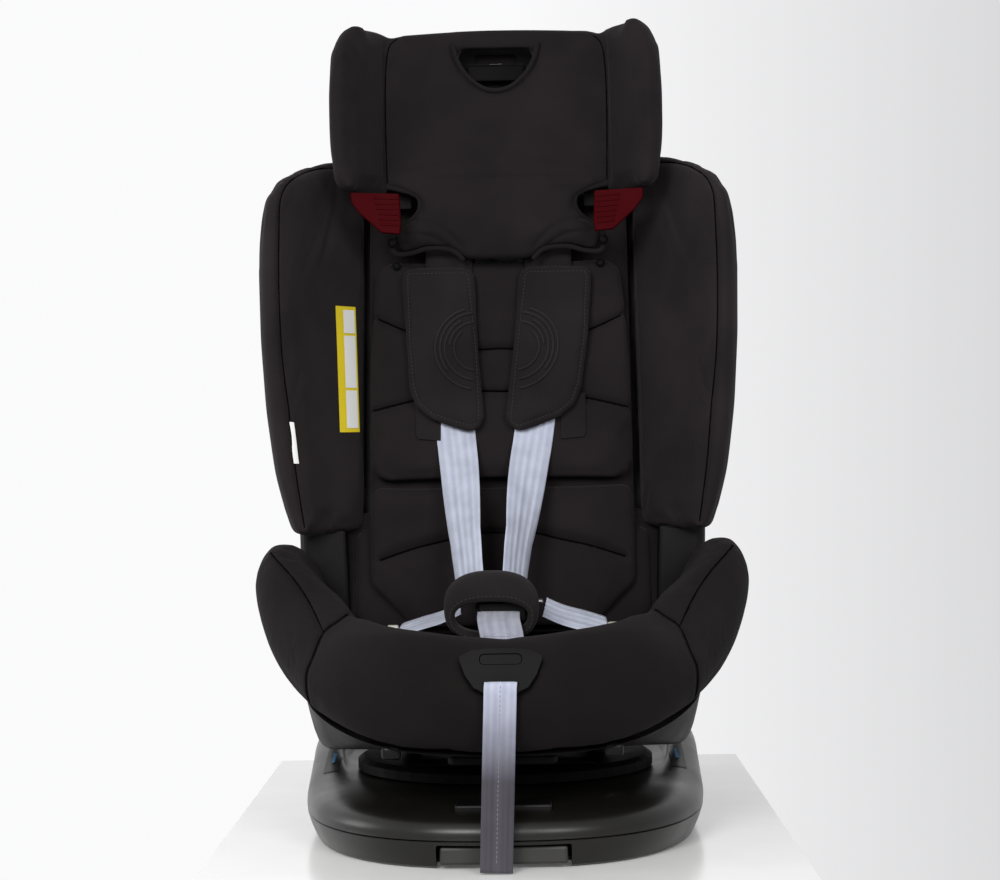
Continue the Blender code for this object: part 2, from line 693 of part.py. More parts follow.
def back_wing_section(z, half_width):
    """Upright section: tip, outside, back and the inner face that slopes to the cushion."""
    face = BACK_FACE_Y + BACK_SLOPE * (z - BACK_FACE_Z)
    drop = max(0.0, min(1.0, (z - 0.595) / 0.0395))
    tip = (0.050 - face) * (1 - drop) - (0.052 - 0.022 * drop) * drop
    inner = CUSHION_HALF_WIDTH + 0.0066
    bend = inner + 0.48 * (half_width - 0.013 - inner)
    points = [
        (half_width - 0.014, tip),
        (half_width - 0.003, tip + 0.012),
        (half_width, tip + 0.038),
        (half_width - 0.004, -0.012),
        (half_width - 0.016, 0.024),
        (half_width - 0.030 if half_width > 0.18 else inner + 0.010, 0.028),
        (inner, 0.028),
        (inner, -0.004),
        (bend, tip * 0.52),
    ]
    return [(x, y, z) for x, y in points]


def make_back_wings():
    sections = [back_wing_section(z, half) for z, half in WING_HALF_WIDTHS]
    mesh = lean(loft_mesh([spline(section, 2, closed=True) for section in sections]))
    add_part("back_wing_r", mesh, "fabric", 60)
    add_part("back_wing_l", mirrored(mesh), "fabric", 60)


def cushion_outline(bottom, top):
    """(x, z) outline: wide at the foot, below the wings, and an open notch at the top for the carrier."""
    corner = 0.016
    right = [(FOOT_HALF_WIDTH - corner, bottom), (FOOT_HALF_WIDTH, bottom + corner)]
    right += [(FOOT_HALF_WIDTH, FOOT_TOP), (CUSHION_HALF_WIDTH, FOOT_TOP)]
    right += [(CUSHION_HALF_WIDTH, top - corner), (CUSHION_HALF_WIDTH - corner, top)]
    right += [(NOTCH_HALF_WIDTH, top), (NOTCH_HALF_WIDTH, NOTCH_BOTTOM)]
    return right + [(-x, z) for x, z in right[::-1]]


def make_back():
    cushion = front_plate_mesh(cushion_outline(0.160, BACK_TOP), GAP, CUSHION_THICKNESS)
    soften(add_part("back_cushion", lean(cushion), "fabric", 60), 0.006)

    edge = [(0.135, 0.165), (0.145, 0.180), (0.145, 0.267), (0.190, 0.268), (0.208, 0.350), (0.213, 0.450)]
    edge += [(0.213, 0.540), (0.200, 0.590), (0.178, 0.608)]
    edge += [(NOTCH_HALF_WIDTH, BACK_TOP + 0.004), (NOTCH_HALF_WIDTH, NOTCH_BOTTOM)]
    outline = edge + [(-x, z) for x, z in edge[::-1]]
    add_part("back_shell", lean(front_plate_mesh(outline, SHELL_FRONT, SHELL_REAR)), "shell_plastic")

    front, rear = SHELL_REAR + GAP, 0.082
    outside = [(0.138, front), (0.136, 0.064), (0.116, rear)]
    inside = [(x - WALL, min(y, rear - WALL)) for x, y in outside]
    inside[1] = (outside[1][0] - WALL, outside[1][1] - 0.0015)
    profile = outside + [(-x, y) for x, y in outside[::-1]]
    profile += [(-x, y) for x, y in inside] + inside[::-1]
    rings = [[(x, y, z) for x, y in profile] for z in (0.205, 0.596)]
    cover = tube_mesh(rings)
    soften(add_part("back_cover", lean(cover), "shell_plastic"), 0.002)


def tube_mesh(rings):
    """A loft whose ends are flat, for sections that a fan can't close."""
    bm = bmesh.new()
    rows = [[bm.verts.new(point) for point in ring] for ring in rings]
    count = len(rows[0])
    for lower, upper in zip(rows, rows[1:]):
        for k in range(count):
            following = (k + 1) % count
            bm.faces.new((lower[k], lower[following], upper[following], upper[k]))
    bm.faces.new(rows[0][::-1])
    bm.faces.new(rows[-1])
    bmesh.ops.recalc_face_normals(bm, faces=bm.faces)
    return mesh_of(bm)


def make_inserts():
    """Two padded inserts that lie on the back cushion."""
    upper = [(0.112, 0.311), (0.124, 0.315), (0.1295, 0.328)]
    upper += [(0.128, 0.430), (0.122, 0.520), (0.110, 0.529)]
    mesh = front_plate_mesh(upper + [(-x, z) for x, z in upper[::-1]], -0.0235, -GAP)
    soften(add_part("insert_upper", lean(mesh), "fabric", 60), 0.007)
    lower = [(0.088, 0.168), (0.102, 0.183), (0.1295, 0.212), (0.1300, 0.300), (0.124, 0.3065)]
    mesh = front_plate_mesh(lower + [(-x, z) for x, z in lower[::-1]], -0.0175, -GAP)
    soften(add_part("insert_lower", lean(mesh), "fabric", 60), 0.006)


# ---------------------------------------------------------------- headrest


def headrest_wing_section(z, grow):
    """Upright section of the right wing: outside, back, inner face and rounded front."""
    points = [
        (0.1625 - grow, -0.098),
        (0.1530 - grow, -0.058),
        (0.1340 - grow, -0.020),
        (0.1160, -0.010),
        (0.1116, -0.030),
        (0.1116, -0.054),
        (0.1225, -0.076),
        (0.1360 - grow / 2, -0.104 + grow),
        (0.1500 - grow, -0.124 + grow),
    ]
    return [(x, y, z) for x, y in points]


def make_headrest():
    levels = [(0.594, 0.010), (0.604, 0.004), (0.640, 0.001), (0.690, 0.0)]
    levels += [(0.728, 0.001), (0.747, 0.009), (0.756, 0.022)]
    wing = lean(loft_mesh([spline(headrest_wing_section(*level), 2, closed=True) for level in levels]))
    add_part("headrest_wing_r", wing, "fabric", 60)
    add_part("headrest_wing_l", mirrored(wing), "fabric", 60)

    side = [(0.034, 0.5260), (0.044, 0.5380), (0.070, 0.5400), (0.098, 0.5330), (0.106, 0.5480)]
    side += [(0.096, 0.5600), (0.077, 0.5760), (0.078, 0.5920), (0.106, 0.6020)]
    side += [(0.108, 0.7470), (0.102, 0.7545)]
    pocket = [(0.042 * math.cos(a), 0.7400 + 0.042 * math.sin(a)) for a in pocket_angles()]
    mesh = front_plate_mesh(side + [(-x, z) for x, z in side[::-1]], -0.0550, -0.0290, [pocket])
    soften(add_part("headrest_cushion", lean(mesh), "fabric", 60), 0.007)

    rim = [(0.110, 0.626), (0.110, 0.742), (0.104, 0.748)]
    windows = [shifted(rounded_rectangle(0.021, 0.018, 0.003, 2), 0, 0.7240)]
    for side in (-1, 1):
        windows.append(shifted(rounded_rectangle(0.0205, 0.008, 0.003, 2), side * 0.0480, 0.6450))
    mesh = front_plate_mesh(rim + [(-x, z) for x, z in rim[::-1]], -0.0120, -0.0080, windows)
    add_part("headrest_shell", lean(mesh), "shell_plastic")


def pocket_angles():
    """The lower half turn of the pocket, closed by its straight upper edge."""
    return [math.pi + math.pi * k / 12 for k in range(13)]


def make_headrest_carrier():
    """The carrier steps back over the cushion and runs down behind the back shell."""
    low, high = 0.430, 0.676
    step = high - 0.018
    outline = [(0.0370, low), (0.0400, low), (0.0400, high)]
    outline += [(-0.0077, high), (-0.0077, step), (0.0370, step)]
    add_part("headrest_carrier", lean(side_plate_mesh(outline, 0.0, 0.048)), "steel")
    grip = box_mesh((-0.030, -0.0270, 0.7120), (0.030, -0.0160, 0.7300))
    soften(add_part("headrest_handle", lean(grip), "gloss_plastic"), 0.003)
    link = [(-0.0157, 0.7170), (0.0430, 0.7170), (0.0430, 0.4400), (0.0480, 0.4400)]
    link += [(0.0480, 0.7250), (-0.0157, 0.7250)]
    add_part("headrest_lock_link", lean(side_plate_mesh(link, 0.0, 0.008)), "steel")


def make_belt_guides():
    """Hooks under the headrest wings that lead a vehicle belt."""
    outline = [(0.0945, 0.5900), (0.142, 0.5920), (0.141, 0.5820), (0.133, 0.5710)]
    outline += [(0.112, 0.5520), (0.0940, 0.5500), (0.0930, 0.5600)]
    mesh = lean(front_plate_mesh(outline, -0.0980, -0.0880))
    for side, tag in ((1, "r"), (-1, "l")):
        guide = add_part(f"belt_guide_{tag}", mesh if side > 0 else mirrored(mesh), "red_plastic")
        soften(guide, 0.0015)


# ---------------------------------------------------------------- harness


def leaned(x, forward, z):
    """A point `forward` of the back face, at height z, once the back leans."""
    return (x, BACK_FACE_Y + BACK_SLOPE * (z - BACK_FACE_Z) - forward, z)


def shoulder_route(side):
    """From the yoke behind the shell, over through the headrest shell, down to the buckle."""
    behind = [leaned(side * 0.0480, -0.0385, z) for z in (0.3560, 0.4400, 0.5300, 0.6100)]
    turn = [leaned(side * 0.0480, -0.0360, 0.6330), leaned(side * 0.0480, -0.0220, 0.6440)]
    turn += [leaned(side * 0.0480, 0.0100, 0.6450), leaned(side * 0.0480, 0.0220, 0.6390)]
    face = [leaned(side * 0.0485, 0.0262, 0.6180), leaned(side * 0.0490, 0.0262, 0.5600)]
    face += [leaned(side * 0.0480, 0.0262, 0.5000), leaned(side * 0.0450, 0.0264, 0.4400)]
    face += [leaned(side * 0.0410, 0.0262, 0.3850), leaned(side * 0.0375, 0.0264, 0.3520)]
    front = [(side * 0.0335, 0.0980, 0.3240), (side * 0.0275, 0.0580, 0.2800)]
    front += [(side * 0.0225, 0.0250, 0.2400), (side * 0.0205, 0.0080, 0.2030)]
    return behind + turn + face + front


def make_straps():
    for side, tag in ((1, "r"), (-1, "l")):
        route = spline(shoulder_route(side), 3)
        band = ribbon_mesh(route, (1, 0, 0), STRAP_HALF_WIDTH, STRAP_THICKNESS)
        add_part(f"shoulder_strap_{tag}", band, "webbing")
        hip = [(side * 0.0390, 0.0020, 0.1985), (side * 0.0560, 0.0040, 0.1900)]
        hip += [(side * 0.0780, 0.0100, 0.1800), (side * 0.0980, 0.0180, 0.1730)]
        lap = ribbon_mesh(spline(hip, 3), (0, 1, 0.2), LAP_HALF_WIDTH, STRAP_THICKNESS)
        add_part(f"hip_strap_{tag}", lap, "webbing")
        middle = side * 0.0230
        tongue = box_mesh((middle - 0.0145, -0.0072, 0.1990), (middle + 0.0145, 0.0180, 0.2015))
        soften(add_part(f"buckle_tongue_{tag}", tongue, "steel"), 0.001, 1)
    yoke = front_plate_mesh(shifted(rounded_rectangle(0.068, 0.012, 0.005), 0, 0.3420), 0.0375, 0.0400)
    add_part("harness_yoke", lean(yoke), "steel")


def make_shoulder_pads():
    outline = [(0.092, 0.514), (0.086, 0.5205), (0.026, 0.5205), (0.020, 0.514)]
    outline += [(0.0135, 0.372), (0.020, 0.360), (0.030, 0.3585)]
    outline += [(0.066, 0.371), (0.080, 0.383), (0.0865, 0.400), (0.0895, 0.450)]
    mesh = lean(front_plate_mesh(outline, -0.0410, -0.0283))
    for side, tag in ((1, "r"), (-1, "l")):
        pad = add_part(f"shoulder_pad_{tag}", mesh if side > 0 else mirrored(mesh), "pad_fabric", 60)
        soften(pad, 0.004)


def make_buckle():
    block = box_mesh((-0.024, -0.0700, 0.1840), (0.024, -0.0075, 0.2070))
    body = soften(add_part("buckle_body", block, "gloss_plastic"), 0.004)
    cut(body, box_mesh((-0.0126, -0.0446, 0.1980), (0.0126, -0.0214, 0.2200)))
    button = box_mesh((-0.0120, -0.0440, 0.2020), (0.0120, -0.0220, 0.2095))
    soften(add_part("buckle_button", button, "red_plastic"), 0.001)
    crotch = [(0, -0.1240, 0.1280), (0, -0.1240, 0.1600), (0, -0.1130, 0.1760)]
    crotch += [(0, -0.0930, 0.1900), (0, -0.0710, 0.1960)]
    strap = ribbon_mesh(spline(crotch, 3), (1, 0, 0), STRAP_HALF_WIDTH, STRAP_THICKNESS)
    add_part("crotch_strap", strap, "webbing")
    outside = [(0.043 * math.cos(a), 0.1680 + 0.0660 * math.sin(a) ** 0.8) for a in arch_angles()]
    inside = [(0.0335 * math.cos(a), 0.1680 + 0.0545 * math.sin(a) ** 0.7) for a in arch_angles()]
    pad = front_plate_mesh(outside + inside[::-1], -0.0880, -0.0480)
    soften(add_part("crotch_pad", pad, "pad_fabric", 60), 0.003)


def arch_angles():
    return [math.pi * k / 16 for k in range(17)]


def bezel_frame():
    """The adjuster's own axes: X across, Y up the bolster's face, Z out of it."""
    return Matrix.Translation(BEZEL_CENTRE) @ Matrix.Rotation(BEZEL_TILT, 4, "X")


def bezel_outline(grow=0.0):
    half = [(0.012, -0.0200), (0.022, -0.0150), (0.029, -0.0040), (0.0335, 0.0090), (0.0335, 0.0130)]
    half += [(0.024, 0.0180), (0.010, 0.0195)]
    points = half + [(-x, y) for x, y in half[::-1]]
    return [(x * (1 + grow / 0.0335), y * (1 + grow / 0.0195)) for x, y in points]


def make_adjuster():
    slot = shifted(rounded_rectangle(0.0146, 0.0019, 0.0015, 2), 0, -0.0120)
    window = shifted(rounded_rectangle(0.0175, 0.0050, 0.0040, 3), 0, 0.0100)
    mesh = plate_mesh(bezel_outline(), 0.0060, [slot, window])
    mesh.transform(bezel_frame())
    add_part("adjuster_bezel", mesh, "gloss_plastic")
    lever = plate_mesh(shifted(rounded_rectangle(0.0168, 0.0043, 0.0034, 3), 0, 0.0100), 0.0050)
    lever.transform(bezel_frame())
    add_part("adjuster_lever", lever, "gloss_plastic")


def adjuster_route():
    """Out of the bezel's slot, over its lip and straight down to the table."""
    inside = bezel_frame() @ Vector((0, -0.0120, -0.0010))
    mouth = bezel_frame() @ Vector((0, -0.0121, 0.0060))
    hang = [(0, -0.2895, 0.1500), (0, -0.2905, 0.1350), (0, -0.2900, 0.1100), (0, -0.2890, 0.0700)]
    return [inside, mouth, *hang, (0, -0.2880, 0.0300), (0, -0.2875, 0.0012)]


def make_adjuster_strap():
    band = ribbon_mesh(spline(adjuster_route(), 5), (1, 0, 0), ADJUSTER_HALF_WIDTH, STRAP_THICKNESS)
    add_part("adjuster_strap", band, "adjuster_webbing")


# ---------------------------------------------------------------- pivots of the moving groups


PIVOTS = (
    ("swivel_pivot", None, (0, 0, TURNTABLE_BOTTOM), ("turntable", "recline_bracket")),
    ("recline_pivot", "swivel_pivot", (0, RECLINE_Y, RECLINE_Z), SEAT_PIECES),
    ("headrest_pivot", "recline_pivot", (0, 0.209, 0.650), HEADREST_PIECES),
    ("handle_pivot", "headrest_pivot", (0, 0.209, 0.721), ("headrest_handle", "headrest_lock_link")),
    ("lever_pivot", "recline_pivot", (0, -0.204, 0.085), ("recline_lever",)),
    ("buckle_button_pivot", "recline_pivot", (0, -0.033, 0.205), ("buckle_button",)),
    ("adjuster_pivot", "recline_pivot", (0, -0.2695, 0.1707), ("adjuster_lever",)),
    ("rotation_button_pivot", None, (0, -0.2255, 0.045), ("rotation_button",)),
    ("rotation_lock_pivot", None, (0, -RACE_RADIUS, 0.040), ("rotation_lock_pin",)),
    ("release_pivot", None, (0, -0.247, 0.011), ("isofix_release_handle",)),
    ("arms_pivot", None, (0, 0.120, 0.0215), ("isofix_frame", "isofix_housing_l", "isofix_housing_r")),
    ("hook_pivot_l", "arms_pivot", (-ARM_X, *HOOK_PIVOT), ("isofix_hook_l",)),
    ("hook_pivot_r", "arms_pivot", (ARM_X, *HOOK_PIVOT), ("isofix_hook_r",)),
    ("slider_pivot_l", "arms_pivot", (-ARM_X, 0.274, 0.0456), ("isofix_slider_l",)),
    ("slider_pivot_r", "arms_pivot", (ARM_X, 0.274, 0.0456), ("isofix_slider_r",)),
)


def hang_on_pivots():
    """Parents each moving group to an empty that stands on the axis of its joint."""
    places = {None: Vector()}
    empties = {None: None}
    for name, above, place, pieces in PIVOTS:
        pivot = bpy.data.objects.new(name, None)
        PARTS.objects.link(pivot)
        pivot.empty_display_size = 0.02
        pivot.parent = empties[above]
        pivot.location = Vector(place) - places[above]
        places[name], empties[name] = Vector(place), pivot
        for piece in pieces:
            PARTS.objects[piece].parent = pivot
            PARTS.objects[piece].matrix_parent_inverse = Matrix.Translation(-Vector(place))


def build():
    make_base()
    make_base_controls()
    make_isofix()
    make_turntable()
    make_recline()
    make_bucket()
    make_front_bolster()
    make_side_wings()
    make_seat_cushion()
    make_side_trims()
    make_back_wings()
    make_back()
    make_inserts()
    make_headrest()
    make_headrest_carrier()
    make_belt_guides()
    make_straps()
    make_shoulder_pads()
    make_buckle()
    make_adjuster()
    make_adjuster_strap()
    hang_on_pivots()


clear_scene()
PARTS = new_collection("convertible_car_seat")
CUTTERS = new_collection("cutters")
build()
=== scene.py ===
"""Looks of the convertible car seat: fabric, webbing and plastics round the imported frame."""

import json
import math

import bmesh
import bpy
import numpy as np
from mathutils import Matrix, Vector
from mathutils.bvhtree import BVHTree
from mathutils.kdtree import KDTree


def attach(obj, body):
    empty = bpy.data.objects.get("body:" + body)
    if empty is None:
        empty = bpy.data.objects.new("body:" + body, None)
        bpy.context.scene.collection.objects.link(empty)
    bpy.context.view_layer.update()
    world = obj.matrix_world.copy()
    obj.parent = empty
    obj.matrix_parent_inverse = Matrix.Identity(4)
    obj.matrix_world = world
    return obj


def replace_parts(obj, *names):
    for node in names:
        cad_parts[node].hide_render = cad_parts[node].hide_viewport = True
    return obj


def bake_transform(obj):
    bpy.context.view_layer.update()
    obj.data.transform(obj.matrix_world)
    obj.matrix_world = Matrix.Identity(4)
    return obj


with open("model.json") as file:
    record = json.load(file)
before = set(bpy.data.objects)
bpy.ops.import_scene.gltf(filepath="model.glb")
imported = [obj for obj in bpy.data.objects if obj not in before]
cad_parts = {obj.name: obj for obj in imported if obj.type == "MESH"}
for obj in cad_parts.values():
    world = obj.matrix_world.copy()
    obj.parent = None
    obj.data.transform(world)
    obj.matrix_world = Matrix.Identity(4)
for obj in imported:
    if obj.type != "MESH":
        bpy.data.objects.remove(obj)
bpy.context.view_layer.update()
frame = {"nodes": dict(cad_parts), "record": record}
SCENE = bpy.context.scene
SIDES = ((-1, "l"), (1, "r"))

# The leaning back, as in the CAD: y at the face of the back cushion for a height z
BACK_SLOPE = 0.22
BACK_Y, BACK_Z = 0.105, 0.18

# Base, as in the CAD
BASE_HALF_WIDTH = 0.1795
ARM_X = 0.140
BASE_FRONT, BASE_BACK = 0.272, 0.262
FRONT_POWER, BACK_POWER = 2.55, 5.0

STRAP_HALF_WIDTH = 0.019
STRAP_THICKNESS = 0.0016
ADJUSTER_HALF_WIDTH = 0.0133


# ---- camera, light and floor


def add_object(name, data):
    obj = bpy.data.objects.new(name, data)
    SCENE.collection.objects.link(obj)
    return obj


def make_camera():
    data = bpy.data.cameras.new("camera")
    data.sensor_width = 36.0
    data.lens = 85.5
    camera = add_object("camera", data)
    camera.location = (0.02, -2.2, 0.35)
    camera.rotation_euler = (math.radians(90), math.radians(0.95), math.radians(0.52))
    SCENE.camera = camera


def area_light(name, place, target, power):
    data = bpy.data.lights.new(name, "AREA")
    data.size = LAMP_SIZE
    data.energy = power
    light = add_object(name, data)
    light.location = place
    light.rotation_euler = (Vector(target) - Vector(place)).to_track_quat("-Z", "Y").to_euler()


WORLD_LIGHT = 0.50
WALL_BRIGHT, WALL_DIM = (0.96, 0.96, 0.97, 1.0), (0.70, 0.70, 0.71, 1.0)
WALL_FADE_END = 0.20
LAMP_SIZE = 0.8
BODY_CENTRE, BASE_CENTRE = (0, 0, 0.50), (0, 0, 0.05)


def make_lights():
    """A wall, brighter on the left and brighter to see or mirror than as a lamp, and three lamps."""
    world = bpy.data.worlds.new("studio")
    world.use_nodes = True
    nodes, link = world.node_tree.nodes, world.node_tree.links.new
    background = nodes["Background"].inputs
    place = nodes.new("ShaderNodeTexCoord")
    parts = nodes.new("ShaderNodeSeparateXYZ")
    wall = nodes.new("ShaderNodeValToRGB")
    link(place.outputs["Generated"], parts.inputs["Vector"])
    link(parts.outputs["X"], wall.inputs["Fac"])
    link(wall.outputs["Color"], background["Color"])
    path = nodes.new("ShaderNodeLightPath")
    seen = nodes.new("ShaderNodeMath")
    seen.operation = "MAXIMUM"
    link(path.outputs["Is Camera Ray"], seen.inputs[0])
    link(path.outputs["Is Glossy Ray"], seen.inputs[1])
    level = nodes.new("ShaderNodeMapRange")
    level.inputs["To Min"].default_value = WORLD_LIGHT
    link(seen.outputs[0], level.inputs["Value"])
    link(level.outputs["Result"], background["Strength"])
    bright, dim = wall.color_ramp.elements
    bright.position, bright.color = 0.0, WALL_BRIGHT
    dim.position, dim.color = WALL_FADE_END, WALL_DIM
    SCENE.world = world
    area_light("key", (-0.7, -2.3, 1.25), BODY_CENTRE, 46)
    area_light("fill", (0.9, -2.3, 1.10), BODY_CENTRE, 26)
    area_light("left_edge", (-1.9, 0.2, 0.6), BASE_CENTRE, 9)


def make_stage():
    table = add_object("table_top", box_mesh((-0.25, -0.37, -0.03), (0.25, 0.42, -0.0002)))
    white = plain("table_white", (0.86, 0.86, 0.85), 0.18)
    glow = white.node_tree.nodes["Principled BSDF"].inputs
    glow["Emission Color"].default_value = (1.0, 1.0, 0.99, 1.0)
    glow["Emission Strength"].default_value = 0.07
    coat(table, white)


# ---- materials


class Shader:
    """A Principled material under construction, with its coordinates in metres."""

    def __init__(self, name, colour, roughness, metallic=0.0):
        self.material = bpy.data.materials.new(name)
        self.material.use_nodes = True
        self.tree = self.material.node_tree
        self.surface = self.tree.nodes["Principled BSDF"]
        self.place = self.node("ShaderNodeTexCoord").outputs["Object"]
        self.set("Base Color", (*colour, 1.0))
        self.set("Roughness", roughness)
        self.set("Metallic", metallic)

    def set(self, socket, value):
        self.surface.inputs[socket].default_value = value

    def node(self, kind, **inputs):
        made = self.tree.nodes.new(kind)
        for key, value in inputs.items():
            made.inputs[key.replace("_", " ")].default_value = value
        return made

    def link(self, source, target):
        self.tree.links.new(source, target)

    def math(self, operation, first, second=None):
        made = self.tree.nodes.new("ShaderNodeMath")
        made.operation = operation
        for socket, value in zip(made.inputs, (first, second)):
            if isinstance(value, (int, float)):
                socket.default_value = value
            elif value is not None:
                self.link(value, socket)
        return made.outputs[0]

    def wave(self, operation, source, period):
        return self.math(operation, self.math("MULTIPLY", source, math.tau / period))

    def parts(self, vector):
        """The x, y and z of a vector output."""
        made = self.node("ShaderNodeSeparateXYZ")
        self.link(vector, made.inputs["Vector"])
        return [made.outputs[axis] for axis in "XYZ"]

    def noise(self, scale, detail=2.0):
        made = self.node("ShaderNodeTexNoise", Scale=scale, Detail=detail)
        self.link(self.place, made.inputs["Vector"])
        return made.outputs["Fac"]

    def ramp(self, source, low, high, start=0.3, end=0.7):
        """A colour or a grey between low and high as source goes from start to end."""
        made = self.tree.nodes.new("ShaderNodeValToRGB")
        made.color_ramp.elements[0].position = start
        made.color_ramp.elements[1].position = end
        for element, value in zip(made.color_ramp.elements, (low, high)):
            element.color = (value,) * 3 + (1.0,) if isinstance(value, float) else (*value, 1.0)
        self.link(source, made.inputs["Fac"])
        return made.outputs["Color"]

    def feed(self, socket, source):
        self.link(source, self.surface.inputs[socket])

    def bump(self, height, distance, strength=1.0):
        made = self.node("ShaderNodeBump", Strength=strength, Distance=distance)
        self.link(height, made.inputs["Height"])
        previous = self.surface.inputs["Normal"].links
        if previous:
            self.link(previous[0].from_socket, made.inputs["Normal"])
        self.feed("Normal", made.outputs["Normal"])


def scaled(colour, factor):
    return tuple(channel * factor for channel in colour)


def plain(name, colour, roughness, specular=0.5):
    """One smooth colour with a faint cloudiness, for thread, labels and paint."""
    shader = Shader(name, colour, roughness)
    shader.set("Specular IOR Level", specular)
    shader.feed("Base Color", shader.ramp(shader.noise(9.0), scaled(colour, 0.96), scaled(colour, 1.04)))
    return shader.material


def fabric(name, colour, sheen=0.30, thread=0.0013):
    """Knitted cover: a fine diagonal grid of stitches, soft wear and a little lint."""
    shader = Shader(name, colour, 0.88)
    shader.set("Specular IOR Level", 0.10)
    shader.set("Sheen Weight", sheen)
    shader.set("Sheen Roughness", 0.45)
    shader.set("Sheen Tint", (0.55, 0.50, 0.52, 1.0))
    x, y, z = shader.parts(shader.place)
    across = shader.math("ADD", x, y)
    one = shader.wave("SINE", shader.math("ADD", across, z), thread)
    two = shader.wave("SINE", shader.math("SUBTRACT", across, z), thread)
    weave = shader.math("MULTIPLY", one, two)
    shader.bump(weave, 0.00020, 0.35)
    shader.bump(shader.noise(1400.0, 1.0), 0.00015, 0.6)
    tone = shader.math("ADD", shader.math("MULTIPLY", weave, 0.08), shader.noise(14.0, 4.0))
    shader.feed("Base Color", shader.ramp(tone, scaled(colour, 0.78), scaled(colour, 1.30)))
    return shader.material


def moulded(name, colour, roughness, grain=0.00006, specular=0.5):
    """Injection-moulded plastic: fine spark-eroded grain and faint handling marks."""
    shader = Shader(name, colour, roughness)
    shader.set("Specular IOR Level", specular)
    smear = shader.noise(22.0, 5.0)
    shader.feed("Roughness", shader.ramp(smear, roughness * 0.86, roughness * 1.16))
    cloud = shader.noise(6.0, 3.0)
    shader.feed("Base Color", shader.ramp(cloud, scaled(colour, 0.92), scaled(colour, 1.08)))
    shader.bump(shader.noise(1600.0, 2.0), grain, 0.8)
    return shader.material


def plated_steel(name, colour):
    """Plated steel with fine scratches along its length."""
    shader = Shader(name, colour, 0.32, 1.0)
    scratches = shader.node("ShaderNodeMapping", Scale=(40.0, 900.0, 900.0))
    shader.link(shader.place, scratches.inputs["Vector"])
    lines = shader.node("ShaderNodeTexNoise", Scale=1.0, Detail=3.0)
    shader.link(scratches.outputs["Vector"], lines.inputs["Vector"])
    shader.feed("Roughness", shader.ramp(lines.outputs["Fac"], 0.24, 0.46))
    cloud = shader.noise(25.0, 4.0)
    shader.feed("Base Color", shader.ramp(cloud, scaled(colour, 0.85), scaled(colour, 1.1)))
    return shader.material


YARN = 0.0016
# Painted shade: the tint that webbing fades to towards the bottom
PAINTED_SHADE_TINT = (0.085, 0.070, 0.078)


def webbing(name, colour, half_width, ribs=5, shade_heights=None):
    """Woven webbing on a ribbon's own UV map, in metres; with a pair of heights it grows darker towards the
    bottom between them, as painted shade.
    """
    shader = Shader(name, colour, 0.62)
    shader.set("Sheen Weight", 0.25)
    shader.set("Sheen Roughness", 0.4)
    u, v, _ = shader.parts(shader.node("ShaderNodeUVMap").outputs["UV"])
    rib = 2 * half_width / ribs
    slant = shader.math("PINGPONG", u, rib)
    threads = shader.wave("SINE", shader.math("ADD", v, slant), YARN)
    ridges = shader.wave("COSINE", u, rib)
    shader.bump(threads, 0.00018, 0.8)
    shader.bump(ridges, 0.00035, 0.8)
    tone = shader.math("ADD", shader.math("MULTIPLY", threads, 0.10), shader.math("MULTIPLY", ridges, 0.14))
    tone = shader.math("ADD", tone, shader.noise(60.0, 3.0))
    cloth = shader.ramp(tone, scaled(colour, 0.80), scaled(colour, 1.12), 0.2, 0.8)
    if shade_heights:
        # Painted shade: darker towards the bottom between the two heights, for the shade on the lower end of
        # the hanging strap
        height = shader.parts(shader.place)[2]
        shade_ramp = shader.ramp(height, PAINTED_SHADE_TINT, (1.0, 1.0, 1.0), *shade_heights)
        mix = shader.tree.nodes.new("ShaderNodeVectorMath")
        mix.operation = "MULTIPLY"
        shader.link(cloth, mix.inputs[0])
        shader.link(shade_ramp, mix.inputs[1])
        cloth = mix.outputs["Vector"]
    shader.feed("Base Color", cloth)
    return shader.material


def coat(obj, material):
    obj.data.materials.clear()
    obj.data.materials.append(material)
    return obj


# ---- mesh helpers


def mesh_of(bm):
    mesh = bpy.data.meshes.new("shape")
    bm.to_mesh(mesh)
    bm.free()
    return mesh


def box_mesh(low, high):
    low, high = Vector(low), Vector(high)
    bm = bmesh.new()
    bmesh.ops.create_cube(bm, size=1.0)
    bmesh.ops.scale(bm, vec=high - low, verts=bm.verts)
    bmesh.ops.translate(bm, vec=(low + high) / 2, verts=bm.verts)
    return mesh_of(bm)


def join_rows(bm, rows, closed=True):
    """Faces between neighbouring rows of vertices, all the way round if the rows are closed."""
    for near, far in zip(rows, rows[1:]):
        for k in range(len(near) if closed else len(near) - 1):
            after = (k + 1) % len(near)
            bm.faces.new((near[k], near[after], far[after], far[k]))


def loft_mesh(rings):
    """A closed solid through rings of equally many points, its ends closed by fans."""
    bm = bmesh.new()
    rows = [[bm.verts.new(point) for point in ring] for ring in rings]
    join_rows(bm, rows)
    count = len(rows[0])
    for row in (rows[0], rows[-1]):
        centre = bm.verts.new(sum((v.co for v in row), Vector()) / count)
        for k in range(count):
            bm.faces.new((row[k], row[(k + 1) % count], centre))
    bmesh.ops.recalc_face_normals(bm, faces=bm.faces)
    return mesh_of(bm)


def spline(points, per_span):
    """Catmull-Rom through the points, with per_span steps between neighbours."""
    last = len(points) - 1
    places = []
    for span in range(last):
        a, b, c, d = (Vector(points[min(max(span + k, 0), last)]) for k in (-1, 0, 1, 2))
        for step in range(per_span):
            t = step / per_span
            bend = (2 * a - 5 * b + 4 * c - d) * t**2 + (3 * b - a - 3 * c + d) * t**3
            places.append(0.5 * (2 * b + (c - a) * t + bend))
    return places + [Vector(points[last])]


